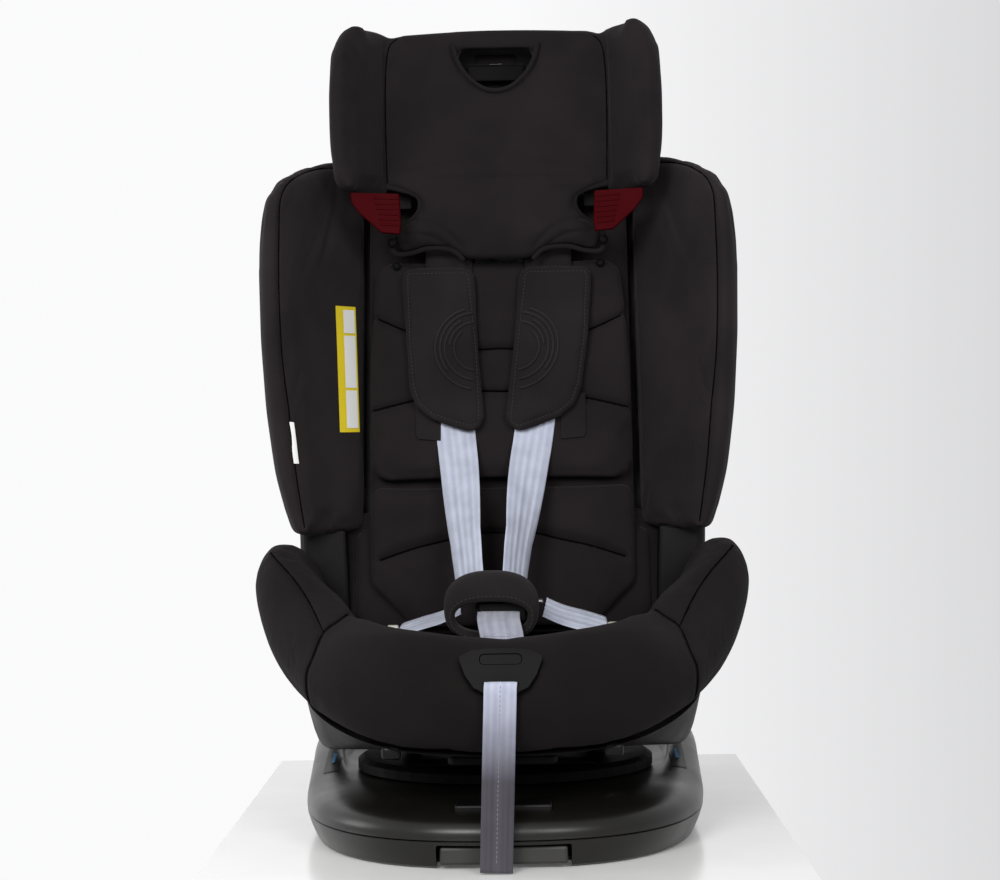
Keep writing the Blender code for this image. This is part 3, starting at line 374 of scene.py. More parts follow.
def evenly(points, spacing):
    """Points at equal distances along the line through the given points."""
    places = np.array([tuple(point) for point in points])
    steps = np.append(0.0, np.cumsum(np.linalg.norm(np.diff(places, axis=0), axis=1)))
    marks = np.linspace(0.0, steps[-1], max(2, round(steps[-1] / spacing) + 1))
    return [Vector(place) for place in zip(*(np.interp(marks, steps, axis) for axis in places.T))]


def applied(obj):
    """Replaces the object's mesh by the result of its modifiers."""
    graph = bpy.context.evaluated_depsgraph_get()
    mesh = bpy.data.meshes.new_from_object(obj.evaluated_get(graph))
    obj.modifiers.clear()
    obj.data = mesh
    return obj


def coordinates(mesh, kind="vertices"):
    values = np.empty(len(mesh.vertices) * 3, np.float64)
    source = mesh.vertices if kind == "vertices" else mesh.vertex_normals
    source.foreach_get("co" if kind == "vertices" else "vector", values)
    return values.reshape(-1, 3)


def put_coordinates(mesh, points):
    mesh.vertices.foreach_set("co", np.asarray(points, np.float32).ravel())
    mesh.update()


def copy_of(name, *nodes):
    """One new object holding copies of the meshes of these CAD nodes."""
    bm = bmesh.new()
    for node in nodes:
        bm.from_mesh(frame["nodes"][node].data)
    bmesh.ops.remove_doubles(bm, verts=bm.verts, dist=1e-5)
    bmesh.ops.recalc_face_normals(bm, faces=bm.faces)
    obj = add_object(name, mesh_of(bm))
    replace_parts(obj, *nodes)
    return obj


def remeshed(obj, voxel, smooth_steps):
    """Gives the object one even skin of voxel-sized faces, smoothed."""
    remesh = obj.modifiers.new("skin", "REMESH")
    remesh.mode = "VOXEL"
    remesh.voxel_size = voxel
    relax = obj.modifiers.new("relax", "SMOOTH")
    relax.factor = 0.6
    relax.iterations = smooth_steps
    return applied(obj)


def subdivided(obj, levels):
    finer = obj.modifiers.new("finer", "SUBSURF")
    finer.levels = levels
    finer.render_levels = levels
    applied(obj)
    obj.data.shade_smooth()


def relax_region(obj, chosen, iterations):
    """Smooths the vertices that are chosen by their places."""
    group = obj.vertex_groups.new(name="region")
    group.add([vertex.index for vertex in obj.data.vertices if chosen(vertex.co)], 1.0, "REPLACE")
    relax = obj.modifiers.new("relax", "SMOOTH")
    relax.vertex_group = "region"
    relax.factor = 0.5
    relax.iterations = iterations
    applied(obj)
    obj.vertex_groups.clear()
    obj.data.shade_smooth()


def near_lines(points, lines, reach):
    """For each point its distance to the nearest line point, up to reach."""
    places = [place for line in lines for place in line]
    tree = KDTree(len(places))
    for index, place in enumerate(places):
        tree.insert(place, index)
    tree.balance()
    if not places:
        return np.full(len(points), reach)
    return np.array([min(reach, tree.find(point)[2]) for point in points])


CLOTH_FRAMES = 18
CLOTH_PRESSURE = 4.0


def inflate(obj, lines, cap):
    """Blows the skin up with the cloth simulation, held at its seams, by at most cap."""
    mesh = obj.data
    rest = coordinates(mesh)
    sewn = obj.vertex_groups.new(name="sewn")
    if lines:
        held = np.nonzero(near_lines(rest, lines, 0.02) < 0.004)[0]
        sewn.add([int(k) for k in held], 1.0, "REPLACE")
    cloth = obj.modifiers.new("cloth", "CLOTH")
    settings = cloth.settings
    settings.quality = 4
    settings.use_pressure = True
    settings.uniform_pressure_force = CLOTH_PRESSURE
    settings.effector_weights.gravity = 0.0
    settings.vertex_group_mass = "sewn"
    cloth.point_cache.frame_start = 1
    cloth.point_cache.frame_end = CLOTH_FRAMES
    for number in range(1, CLOTH_FRAMES + 1):
        SCENE.frame_set(number)
    graph = bpy.context.evaluated_depsgraph_get()
    blown = bpy.data.meshes.new_from_object(obj.evaluated_get(graph))
    moved = coordinates(blown) - rest
    length = np.linalg.norm(moved, axis=1, keepdims=True)
    moved *= np.minimum(1.0, cap / np.maximum(length, 1e-9))
    obj.modifiers.clear()
    obj.vertex_groups.clear()
    put_coordinates(mesh, rest + moved)
    bpy.data.meshes.remove(blown)
    SCENE.frame_set(1)


def seen_from_front(obj, outline, spacing=0.0015):
    """(x, z) points carried back onto the surface, as a line of points on it."""
    tree = BVHTree.FromObject(obj, bpy.context.evaluated_depsgraph_get())
    flat = evenly([Vector((x, 0, z)) for x, z in outline], spacing)
    line = []
    for place in flat:
        hit = tree.ray_cast(Vector((place.x, -1.0, place.z)), Vector((0, 1, 0)))
        if hit[0] is not None:
            line.append(hit[0])
    return line


def both_sides(outline):
    return [outline, [(-x, z) for x, z in outline]]


def whole(outline):
    """The (x, z) line of the right half, continued to the left half."""
    return [(-x, z) for x, z in outline[:0:-1]] + list(outline)


def sew(obj, lines, depth=0.0022, half_width=0.0055):
    """Draws the surface in along the lines, as thread does, with a narrow core."""
    mesh = obj.data
    points, normals = coordinates(mesh), coordinates(mesh, "normals")
    distance = near_lines(points, lines, half_width)
    share = 1.0 - distance / half_width
    pull = depth * (0.55 * share**2 + 0.45 * np.clip(share * 2.2 - 1.2, 0, 1) ** 2)
    put_coordinates(mesh, points - normals * pull[:, None])


def tube(name, path, radius, material, body, resolution=2):
    """A thin round cord on the surface, such as piping or an edge binding."""
    curve = bpy.data.curves.new(name, "CURVE")
    curve.dimensions = "3D"
    curve.bevel_depth = radius
    curve.bevel_resolution = resolution
    curve.use_fill_caps = True
    line = curve.splines.new("POLY")
    line.points.add(len(path) - 1)
    for point, place in zip(line.points, path):
        point.co = (*place, 1.0)
    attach(coat(add_object(name, curve), material), body)


def stitches(name, path, material, body, length=0.0026, gap=0.0012, radius=0.00038):
    """A row of short threads along the path, as one mesh."""
    bm = bmesh.new()
    places = evenly(path, length + gap)
    for a, b in zip(places, places[1:]):
        end = a.lerp(b, length / (length + gap))
        axis = end - a
        turn = axis.to_track_quat("Z", "Y").to_matrix().to_4x4()
        matrix = Matrix.Translation((a + end) / 2) @ turn
        made = bmesh.ops.create_uvsphere(bm, u_segments=6, v_segments=4, radius=radius)
        stretch = Matrix.Diagonal((1, 1, axis.length / (2 * radius), 1))
        bmesh.ops.transform(bm, matrix=matrix @ stretch, verts=made["verts"])
    obj = coat(add_object(name, mesh_of(bm)), material)
    obj.data.shade_smooth()
    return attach(obj, body)


def lifted(line, obj, height):
    """The line moved off the surface by height, along the surface's normals."""
    tree = BVHTree.FromObject(obj, bpy.context.evaluated_depsgraph_get())
    raised = []
    for place in line:
        found = tree.find_nearest(place)
        raised.append(found[0] + found[1] * height)
    return raised


def ribbon(name, path, half_width, across=lambda point: Vector((1, 0, 0))):
    """A strap along the path with a UV map in metres; across gives its width direction."""
    bm = bmesh.new()
    uv_layer = bm.loops.layers.uv.new("UVMap")
    columns = 9
    rows, along = [], []
    distance = 0.0
    for k, point in enumerate(path):
        tangent = (path[min(k + 1, len(path) - 1)] - path[max(k - 1, 0)]).normalized()
        wide = across(point)
        side = (wide - tangent * tangent.dot(wide)).normalized()
        normal = tangent.cross(side)
        if k:
            distance += (point - path[k - 1]).length
        along.append(distance)
        for face in (-1, 1):
            row = []
            for c in range(columns):
                share = 2 * c / (columns - 1) - 1
                lift = face * STRAP_THICKNESS / 2 * (1 - 0.5 * abs(share) ** 8)
                row.append(bm.verts.new(point + side * (share * half_width) + normal * lift))
            rows.append(row)

    def face_of(corners, values):
        made = bm.faces.new(corners)
        for loop, value in zip(made.loops, values):
            loop[uv_layer].uv = value

    span = [2 * c / (columns - 1) * half_width for c in range(columns)]
    last = columns - 1
    end = span[last]
    for k in range(len(path) - 1):
        low, high, low2, high2 = rows[2 * k : 2 * k + 4]
        v, v2 = along[k], along[k + 1]
        for c in range(last):
            u, u2 = span[c], span[c + 1]
            face_of((low[c + 1], low[c], low2[c], low2[c + 1]), ((u2, v), (u, v), (u, v2), (u2, v2)))
            face_of((high[c], high[c + 1], high2[c + 1], high2[c]), ((u, v), (u2, v), (u2, v2), (u, v2)))
        face_of((low[0], high[0], high2[0], low2[0]), ((0, v), (0, v), (0, v2), (0, v2)))
        face_of((high[last], low[last], low2[last], high2[last]), ((end, v), (end, v), (end, v2), (end, v2)))
    for low, high in ((rows[0], rows[1]), (rows[-2], rows[-1])):
        for c in range(last):
            face_of((low[c], low[c + 1], high[c + 1], high[c]), ((0, 0),) * 4)
    bmesh.ops.recalc_face_normals(bm, faces=bm.faces)
    obj = add_object(name, mesh_of(bm))
    obj.data.shade_smooth()
    return obj


def back_point(x, forward, z):
    """A point `forward` of the back cushion's face at height z."""
    return Vector((x, BACK_Y + BACK_SLOPE * (z - BACK_Z) - forward, z))


def flat_spline(points, per_span=6):
    """A smooth line through (x, z) points."""
    return [(place.x, place.y) for place in spline([(x, z, 0) for x, z in points], per_span)]


def box_outline(low, high):
    return [(low[0], low[1]), (high[0], low[1]), (high[0], high[1]), (low[0], high[1])]


def mirrored(points, side):
    return [(side * place[0], *place[1:]) for place in points]


def finish_hard(obj, material, body, angle=32):
    """Coats a moulded piece and keeps its sharp edges sharp."""
    coat(obj, material)
    obj.data.shade_smooth()
    obj.data.set_sharp_from_angle(angle=math.radians(angle))
    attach(obj, body)


def rounded(obj, width, segments=3):
    """Rounds every edge of the object."""
    edge = obj.modifiers.new("edge", "BEVEL")
    edge.width = width
    edge.segments = segments
    return applied(obj)


def plate(outline, front, back):
    """A plate with an (x, z) outline that leans as the back does, y counted from its face."""
    bm = bmesh.new()
    near = [bm.verts.new((x, front, z)) for x, z in outline]
    far = [bm.verts.new((x, back, z)) for x, z in outline]
    bm.faces.new(near)
    bm.faces.new(far)
    join_rows(bm, [near, far])
    bmesh.ops.recalc_face_normals(bm, faces=bm.faces)
    mesh = mesh_of(bm)
    slope = Matrix.Identity(4)
    slope[1][2] = BACK_SLOPE
    slope[1][3] = BACK_Y - BACK_SLOPE * BACK_Z
    mesh.transform(slope)
    return mesh


def hard_piece(name, mesh, material, body, bevel=0.0, segments=3):
    """A new moulded piece, its edges rounded by bevel."""
    obj = add_object(name, mesh)
    if bevel:
        rounded(obj, bevel, segments)
    finish_hard(obj, material, body)


def cloth_piece(name, mesh, material, body, bevel=0.0):
    """A new flat piece of fabric, its edges rounded by bevel."""
    obj = add_object(name, mesh)
    if bevel:
        rounded(obj, bevel)
    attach(coat(obj, material), body)


make_camera()


# ---- shared materials


COVER = fabric("cover_fabric", (0.0104, 0.0082, 0.0088), 0.06)
# Painted light: the back wings take the cover fabric made lighter, for the side light falling on them
LIT_WING_COVER = fabric("wing_fabric_painted_light", (0.0142, 0.0114, 0.0120), 0.06)
# Painted shade: the bolster and side wings take the cover fabric at about half its brightness, for the shade
# on them
SHADED_LOWER_COVER = fabric("lower_cover_fabric_painted_shade", (0.0058, 0.0046, 0.0047), 0.02)
PAD = fabric("pad_fabric", (0.0115, 0.0095, 0.0102), 0.07, 0.0011)
# Painted highlight: the raised rings on the harness pads are lighter than the pad fabric, for the light
# catching their ridges
RING_HIGHLIGHT = fabric("raised_ring_highlight", (0.0175, 0.0155, 0.0160), 0.05)
BINDING = fabric("binding_tape", (0.0080, 0.0068, 0.0070), 0.05, 0.0008)
THREAD = plain("sewing_thread", (0.0150, 0.0135, 0.0140), 0.75)
STRAP = webbing("harness_webbing", (0.46, 0.49, 0.60), STRAP_HALF_WIDTH)
# The adjuster strap gets painted shade on its lower end, darker towards the bottom
PULL_STRAP = webbing("adjuster_webbing", (0.42, 0.44, 0.55), ADJUSTER_HALF_WIDTH, 4, shade_heights=(0.075, 0.148))
# Painted shade: near-black, for the shade in the seam grooves
SEAM_SHADE = plain("seam_shade_line", (0.0026, 0.0021, 0.0022), 0.9, specular=0.0)
PALE_THREAD = plain("pale_thread", (0.19, 0.185, 0.22), 0.7)
BUCKLE_STRAP = webbing("buckle_webbing", (0.30, 0.31, 0.38), STRAP_HALF_WIDTH)
BASE = moulded("base_plastic", (0.0052, 0.0048, 0.0040), 0.32, 0.00007, specular=0.30)
SHELL = moulded("shell_plastic", (0.0110, 0.0098, 0.0094), 0.50, 0.00007, specular=0.08)
GLOSS = moulded("gloss_plastic", (0.0042, 0.0041, 0.0042), 0.34, 0.00001, specular=0.12)
DARK = moulded("dark_plastic", (0.0018, 0.0018, 0.0017), 0.60, specular=0.07)
GREY = moulded("grey_plastic", (0.0150, 0.0146, 0.0132), 0.50, specular=0.4)
RED = moulded("red_plastic", (0.036, 0.0002, 0.0014), 0.60, 0.00003, specular=0.03)
STEEL = plated_steel("plated_steel", (0.52, 0.52, 0.54))
CREAM = plain("cream_label", (0.70, 0.68, 0.60), 0.7)

SLOT_MATERIALS = {
    "base_plastic": BASE,
    "shell_plastic": SHELL,
    "gloss_plastic": GLOSS,
    "grey_plastic": GREY,
    "red_plastic": RED,
    "steel": STEEL,
    "fabric": COVER,
    "pad_fabric": PAD,
    "webbing": STRAP,
    "adjuster_webbing": PULL_STRAP,
}


# Painted shade: CAD nodes under the seat and inside the headrest pocket are coated near-black for the deep
# shade there
NODES_BLACKED_FOR_SHADE = ("turntable", "recline_bracket", "recline_lever", "front_guide_rod", "rear_guide_rod")
NODES_BLACKED_FOR_SHADE += ("recline_runner_l", "recline_runner_r", "headrest_handle", "headrest_lock_link")
NODES_BLACKED_FOR_SHADE += ("headrest_shell",)


def coat_nodes():
    """Every carried-over CAD node takes the material of its record slot; the nodes in shade under the seat
    and in the headrest pocket take the near-black plastic instead, as painted shade.
    """
    for part in frame["record"]["subparts"]:
        node = frame["nodes"][part["node"]]
        material = DARK if part["node"] in NODES_BLACKED_FOR_SHADE else SLOT_MATERIALS[part["material_slot"]]
        for place in node.material_slots:
            place.material = material


# ---- adjuster strap, a flat cord


ADJUSTER_FRAME = Matrix.Translation((0.0, -0.2745, 0.1620)) @ Matrix.Rotation(math.radians(60.8), 4, "X")


def make_adjuster_strap():
    inside = ADJUSTER_FRAME @ Vector((0, -0.0120, -0.0010))
    mouth = ADJUSTER_FRAME @ Vector((0, -0.0121, 0.0060))
    hang = [(-0.0005, -0.2895, 0.1500), (-0.0010, -0.2905, 0.1350), (-0.0020, -0.2900, 0.1100)]
    hang += [(-0.0035, -0.2890, 0.0700), (-0.0050, -0.2880, 0.0300), (-0.0060, -0.2875, 0.0012)]
    route = spline([inside, mouth, *hang], 6)
    strap = coat(ribbon("adjuster_pull", route, ADJUSTER_HALF_WIDTH), PULL_STRAP)
    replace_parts(strap, "adjuster_strap")
    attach(strap, "seat")
    seam = [point + Vector((0, -0.0010, 0)) for point in route[10:-2]]
    thread = stitches("adjuster_pull_seam", seam, PALE_THREAD, "seat")


# ---- base


def signed_power(value, power):
    """A sine or cosine bent towards a rounded rectangle."""
    return math.copysign(abs(value) ** power, value)


def base_point(angle, grow):
    c, s = math.cos(angle), math.sin(angle)
    power, depth = (2 / FRONT_POWER, BASE_FRONT) if s < 0 else (2 / BACK_POWER, BASE_BACK)
    return (BASE_HALF_WIDTH + grow) * signed_power(c, power), (depth + grow) * signed_power(s, power)


def base_ring(front_level, rear_level, count=160):
    ring = []
    for k in range(count):
        angle = math.tau * k / count
        share = min(max((base_point(angle, 0.0)[1] + 0.12) / 0.24, 0.0), 1.0)
        share = share * share * (3 - 2 * share)
        grow, z = (a + (b - a) * share for a, b in zip(front_level, rear_level))
        ring.append((*base_point(angle, grow), z))
    return ring


COVER_INSIDE = (
    ((-0.070, 0.0460), (-0.070, 0.0460)),
    ((-0.045, 0.0453), (-0.033, 0.0460)),
    ((-0.029, 0.0432), (-0.0115, 0.0680)),
    ((-0.0095, 0.0362), (0.0005, 0.0570)),
    ((-0.0030, 0.0245), (-0.0030, 0.0245)),
)
COVER_OUTSIDE = (
    ((-0.0004, 0.0246), (-0.0004, 0.0246)),
    ((0.0000, 0.0252), (0.0000, 0.0252)),
    ((-0.0005, 0.0320), (0.0030, 0.0400)),
    ((-0.0055, 0.0390), (0.0035, 0.0580)),
    ((-0.0155, 0.0435), (-0.0010, 0.0675)),
    ((-0.0280, 0.0462), (-0.0100, 0.0715)),
    ((-0.0360, 0.0474), (-0.0200, 0.0660)),
    ((-0.0450, 0.0483), (-0.0300, 0.0490)),
    ((-0.0700, 0.0490), (-0.0700, 0.0490)),
)
TRAY_LEVELS = (
    (-0.0125, 0.0),
    (-0.0085, 0.002),
    (-0.0060, 0.0070),
    (-0.0030, 0.0140),
    (-0.0002, 0.0228),
    (-0.0008, 0.0235),
    (-0.0030, 0.0235),
    (-0.0060, 0.0140),
    (-0.0130, 0.0030),
)


def rounded_levels(levels, per_span):
    """The levels with a smooth curve put through each line of them."""
    fronts = spline([(grow, z, 0) for (grow, z), _ in levels], per_span)
    rears = spline([(grow, z, 0) for _, (grow, z) in levels], per_span)
    return [((a.x, a.y), (b.x, b.y)) for a, b in zip(fronts, rears)]


def carve(obj, cutter):
    boolean = obj.modifiers.new("cut", "BOOLEAN")
    boolean.operation = "DIFFERENCE"
    boolean.solver = "EXACT"
    boolean.object = cutter
    applied(obj)
    bpy.data.objects.remove(cutter)


def cut_away(obj, low, high, bevel=0.0):
    """Cuts a box out of the object, its edges rounded by bevel."""
    cutter = add_object("cutter", box_mesh(low, high))
    carve(obj, rounded(cutter, bevel, 4) if bevel else cutter)


def cut_round(obj, place, radius, depth=0.030):
    """Cuts an upright round hole; a slight turn keeps its corners off the other edges."""
    bm = bmesh.new()
    bmesh.ops.create_cone(bm, cap_ends=True, segments=64, radius1=radius, radius2=radius, depth=depth)
    turn = Matrix.Rotation(math.radians(1.1), 4, "Z")
    bmesh.ops.transform(bm, matrix=Matrix.Translation(place) @ turn, verts=bm.verts)
    carve(obj, add_object("cutter", mesh_of(bm)))


def arm_tunnels(obj):
    """Passages through the rear of the base for the two latch arms."""
    for side in (-1, 1):
        middle = side * ARM_X
        cut_away(obj, (middle - 0.013, 0.175, 0.0095), (middle + 0.013, 0.285, 0.0335))


def make_base():
    tray = add_object("base_lower", loft_mesh([base_ring(level, level) for level in TRAY_LEVELS]))
    cut_away(tray, (-0.0555, -0.290, -0.010), (0.0555, -0.225, 0.0205), 0.002)
    arm_tunnels(tray)
    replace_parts(tray, "base_tray")
    finish_hard(tray, BASE, "base")

    levels = list(COVER_INSIDE) + rounded_levels(COVER_OUTSIDE, 4)
    cover = add_object("base_upper", loft_mesh([base_ring(*level) for level in levels]))
    cut_round(cover, (0, 0, 0.045), 0.058)
    cut_away(cover, (-0.0406, -0.2486, 0.030), (0.0406, -0.2024, 0.060), 0.004)
    cut_round(cover, (0, -0.110, 0.045), 0.0056)
    arm_tunnels(cover)
    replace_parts(cover, "base_cover")
    finish_hard(cover, BASE, "base")
    make_deck_windows(cover)


# ---- seat shell

RECLINE_Y, RECLINE_Z = 0.02, 0.42
FLOOR_RADIUS, SKIRT_RADIUS = 0.336, 0.349
SHELL_WALL = 0.003
TUB_POWER = 2.9
LUG_X = 0.092
LINER_THICKNESS = 0.0016


def tub_ring(half, front, back, side_z, front_z, back_z, power, radius=None, count=160):
    """A ring of the bucket. With a radius its height follows a cylinder about the recline axis."""
    ring = []
    for k in range(count):
        c, s = math.cos(math.tau * k / count), math.sin(math.tau * k / count)
        x = half * signed_power(c, 2 / power)
        y = (front if s < 0 else back) * signed_power(s, 2 / power)
        z = side_z + ((front_z if s < 0 else back_z) - side_z) * s * s
        if radius:
            z = RECLINE_Z - math.sqrt(radius**2 - y**2)
        if s > 0:
            z = max(z, RECLINE_Z - math.sqrt(SKIRT_RADIUS**2 - y**2))
        ring.append((x, RECLINE_Y + y, z))
    return ring


TUB_WALLS = (
    (0.122, 0.186, 0.160, 0.0735, 0.1140, 0.1290, 4.0, 1.0),
    (0.156, 0.222, 0.172, 0.0760, 0.1010, 0.1480, 3.2, 1.0),
    (0.170, 0.256, 0.180, 0.0860, 0.0945, 0.1750, TUB_POWER, 0.6),
    (0.180, 0.277, 0.186, 0.1280, 0.0912, 0.2000, TUB_POWER, 0.0),
)


def tub_rings(inset):
    floor = [
        tub_ring(share * 0.104, share * 0.158, share * 0.150, 0, 0, 0, 6.0, FLOOR_RADIUS - inset)
        for share in (0.3, 0.5, 0.7, 0.85, 1.0)
    ]
    walls = []
    for half, front, back, side_z, front_z, back_z, power, lift in TUB_WALLS:
        step = inset if lift < 1 else 0.3 * inset
        up = lift * inset
        sizes = (half - step, front - step, back - step)
        walls.append(tub_ring(*sizes, side_z + up, front_z + up, back_z + up, power))
    columns = [spline(column, 4) for column in zip(*walls)]
    return floor + [list(ring) for ring in zip(*columns)]


def make_seat_shell():
    shell = add_object("bucket", loft_mesh(tub_rings(0.0) + tub_rings(SHELL_WALL)[::-1]))
    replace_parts(shell, "seat_shell")
    finish_hard(shell, SHELL, "seat", 40)
    for side, tag in SIDES:
        middle = side * LUG_X
        lug = box_mesh((middle - 0.008, -0.2400, 0.0870), (middle + 0.008, -0.2310, 0.0985))
        hard_piece(f"cover_lug_{tag}", lug, GLOSS, "seat", 0.003)
    make_seat_liner()


def make_seat_liner():
    """The cover's skirt inside the bucket, seen in the gaps beside the seat cushion."""
    low = tub_ring(0.1620, 0.216, 0.170, 0.108, 0.112, 0.120, TUB_POWER)
    high = tub_ring(0.1670, 0.222, 0.174, 0.160, 0.130, 0.165, TUB_POWER)
    bm = bmesh.new()
    join_rows(bm, [[bm.verts.new(point) for point in ring] for ring in (low, high)])
    liner = add_object("seat_liner", mesh_of(bm))
    thick = liner.modifiers.new("thick", "SOLIDIFY")
    thick.thickness = LINER_THICKNESS
    finish_hard(applied(liner), COVER, "seat")


# ---- soft goods


def make_pad(name, nodes, lines, voxel=0.0045, cap=0.004, seam_depth=0.0024, half_width=0.006,
             material=COVER, smooth_steps=6, body="seat", shape=None):
    """A padded piece in place of CAD solids, sewn down along lines of (x, z) points."""
    pad = copy_of(name, *nodes)
    if shape:
        shape(pad)
    remeshed(pad, voxel, smooth_steps)
    inflate(pad, [seen_from_front(pad, line) for line in lines], cap)
    subdivided(pad, 1)
    if lines:
        sew(pad, [seen_from_front(pad, line) for line in lines], seam_depth, half_width)
    coat(pad, material)
    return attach(pad, body)


def seam_shade_line(name, pad, line, body, radius=0.0007):
    """A near-black cord sunk in the seam where two panels are sewn together: painted shade in its groove."""
    path = lifted(seen_from_front(pad, line, 0.004), pad, -0.0001)
    tube(name, path, radius, SEAM_SHADE, body)


EAR_RIDGE = [(0.2120, 0.2500), (0.1900, 0.2320), (0.1700, 0.2110), (0.1523, 0.1880)]
EAR_SEAM = [(0.1264, 0.2060), (0.1400, 0.1970), (0.1523, 0.1880), (0.1597, 0.1690)]
EAR_SEAM += [(0.1650, 0.1550), (0.1648, 0.1370), (0.1620, 0.1265)]


def make_lower_cover():
    lines = both_sides(flat_spline(EAR_RIDGE)) + both_sides(flat_spline(EAR_SEAM))
    nodes = ("front_bolster", "side_wing_l", "side_wing_r")
    pad = make_pad("lower_cover", nodes, lines, cap=0.0035, smooth_steps=8,
                   seam_depth=0.0034, half_width=0.0075, material=SHADED_LOWER_COVER)
    for index, line in enumerate(lines):
        seam_shade_line(f"lower_seam_{index}", pad, line, "seat")


WING_SEAM = [(0.1570, 0.6240), (0.1760, 0.6200), (0.1930, 0.6080), (0.2050, 0.5860), (0.2080, 0.5400)]
WING_SEAM += [(0.2085, 0.4900), (0.2065, 0.4330), (0.2011, 0.3810), (0.1955, 0.3240), (0.1875, 0.2700)]


def lengthen_foot(obj):
    """Keeps the wing's foot at the trim once the skin is smoothed."""
    points = coordinates(obj.data)
    points[points[:, 2] < 0.270, 2] -= 0.0035
    put_coordinates(obj.data, points)


def make_back_wings():
    for side, tag in SIDES:
        line = mirrored(flat_spline(WING_SEAM), side)
        pad = make_pad(f"wing_cover_{tag}", (f"back_wing_{tag}",), [line], cap=0.003, smooth_steps=6,
                       seam_depth=0.0026, half_width=0.0050, material=LIT_WING_COVER, shape=lengthen_foot)
        seam_shade_line(f"wing_seam_{tag}", pad, line, "seat")
        if side < 0:
            make_labels(pad)


def laid_on(obj, corners, direction, lift, cells):
    """A thin patch between four corners, thrown onto the object along a direction."""
    tree = BVHTree.FromObject(obj, bpy.context.evaluated_depsgraph_get())
    low_left, low_right, high_right, high_left = (Vector(corner) for corner in corners)
    bm = bmesh.new()
    rows = []
    for j in range(cells[1] + 1):
        left = low_left.lerp(high_left, j / cells[1])
        right = low_right.lerp(high_right, j / cells[1])
        row = []
        for i in range(cells[0] + 1):
            hit, normal = tree.ray_cast(left.lerp(right, i / cells[0]), Vector(direction))[:2]
            row.append(bm.verts.new(hit + normal * lift))
        rows.append(row)
    join_rows(bm, rows, closed=False)
    return mesh_of(bm)


def patch(name, obj, corners, material, lift=0.0005, cells=(6, 16)):
    """A label with (x, z) corners, lower left first, laid on the front of the object."""
    mesh = laid_on(obj, [(x, -1.0, z) for x, z in corners], (0, 1, 0), lift, cells)
    mesh.shade_smooth()
    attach(coat(add_object(name, mesh), material), "seat")


LABEL_LOW, LABEL_HIGH = 0.3600, 0.4840
LABEL_LEFT, LABEL_LEAN, LABEL_WIDTH = -0.1568, 0.0035, 0.0175


def label_corners(left, right, low, high):
    """Part of the leaning label: shares of its width, heights from its low end."""
    corners = []
    for share, z in ((left, low), (right, low), (right, high), (left, high)):
        rise = (z - LABEL_LOW) / (LABEL_HIGH - LABEL_LOW)
        corners.append((LABEL_LEFT - LABEL_LEAN * rise + LABEL_WIDTH * share, z))
    return corners


def make_labels(wing):
    yellow = plain("yellow_label", (0.72, 0.56, 0.02), 0.5)
    white = plain("white_label", (0.78, 0.78, 0.76), 0.5)
    patch("blank_label", wing, label_corners(0, 1, LABEL_LOW, LABEL_HIGH), yellow)
    for index, (low, high) in enumerate(((0.3640, 0.4010), (0.4035, 0.4550), (0.4575, 0.4805))):
        patch(f"blank_label_panel_{index}", wing, label_corners(0.36, 0.92, low, high), white, 0.0008)
    tag = [(-0.1975, 0.3310), (-0.1930, 0.3305), (-0.1972, 0.3700), (-0.2008, 0.3705)]
    patch("blank_tag", wing, tag, white, 0.0012, (3, 6))


INSERT_SEAMS = (
    [(0.0, 0.4405), (0.030, 0.4400), (0.056, 0.4450), (0.0930, 0.4595), (0.1270, 0.4750)],
    [(0.0, 0.3982), (0.036, 0.3982), (0.0836, 0.3905), (0.1290, 0.3797)],
)
LOWER_SEAMS = ([(0.0, 0.2600), (0.030, 0.2595), (0.0546, 0.2535), (0.0850, 0.2465), (0.1190, 0.2355)],)


def make_inserts():
    for name, node, seams in (
        ("insert_upper_pad", "insert_upper", INSERT_SEAMS),
        ("insert_lower_pad", "insert_lower", LOWER_SEAMS),
    ):
        lines = [whole(flat_spline(seam)) for seam in seams]
        pad = make_pad(name, (node,), lines, voxel=0.004, cap=0.0025, seam_depth=0.0062, half_width=0.0100)
        for index, line in enumerate(lines):
            seam_shade_line(f"{name}_seam_{index}", pad, line, "seat", 0.0011)
    make_pad("back_pad", ("back_cushion",), [], cap=0.0015)
    for side, tag in SIDES:
        outline = mirrored(box_outline((0.126, 0.164), (0.156, 0.280)), side)
        cloth_piece(f"back_border_{tag}", plate(outline, 0.0100, 0.0220), COVER, "seat", 0.003)
    make_pad("seat_pad", ("seat_cushion",), [], cap=0.003)


HEADREST_SEAM = [(0.0980, 0.7530), (0.1060, 0.7450), (0.1095, 0.7200), (0.1100, 0.6700), (0.1085, 0.6060)]
POCKET_TOP = 0.7470
POCKET_RADIUS = 0.042
POCKET_CENTRE = 0.740


def pocket_taper(z):
    """How much narrower than a half circle the pocket is at a height."""
    return np.clip(0.80 + 0.20 * (z - 0.698) / 0.049, 0.80, 1.0)


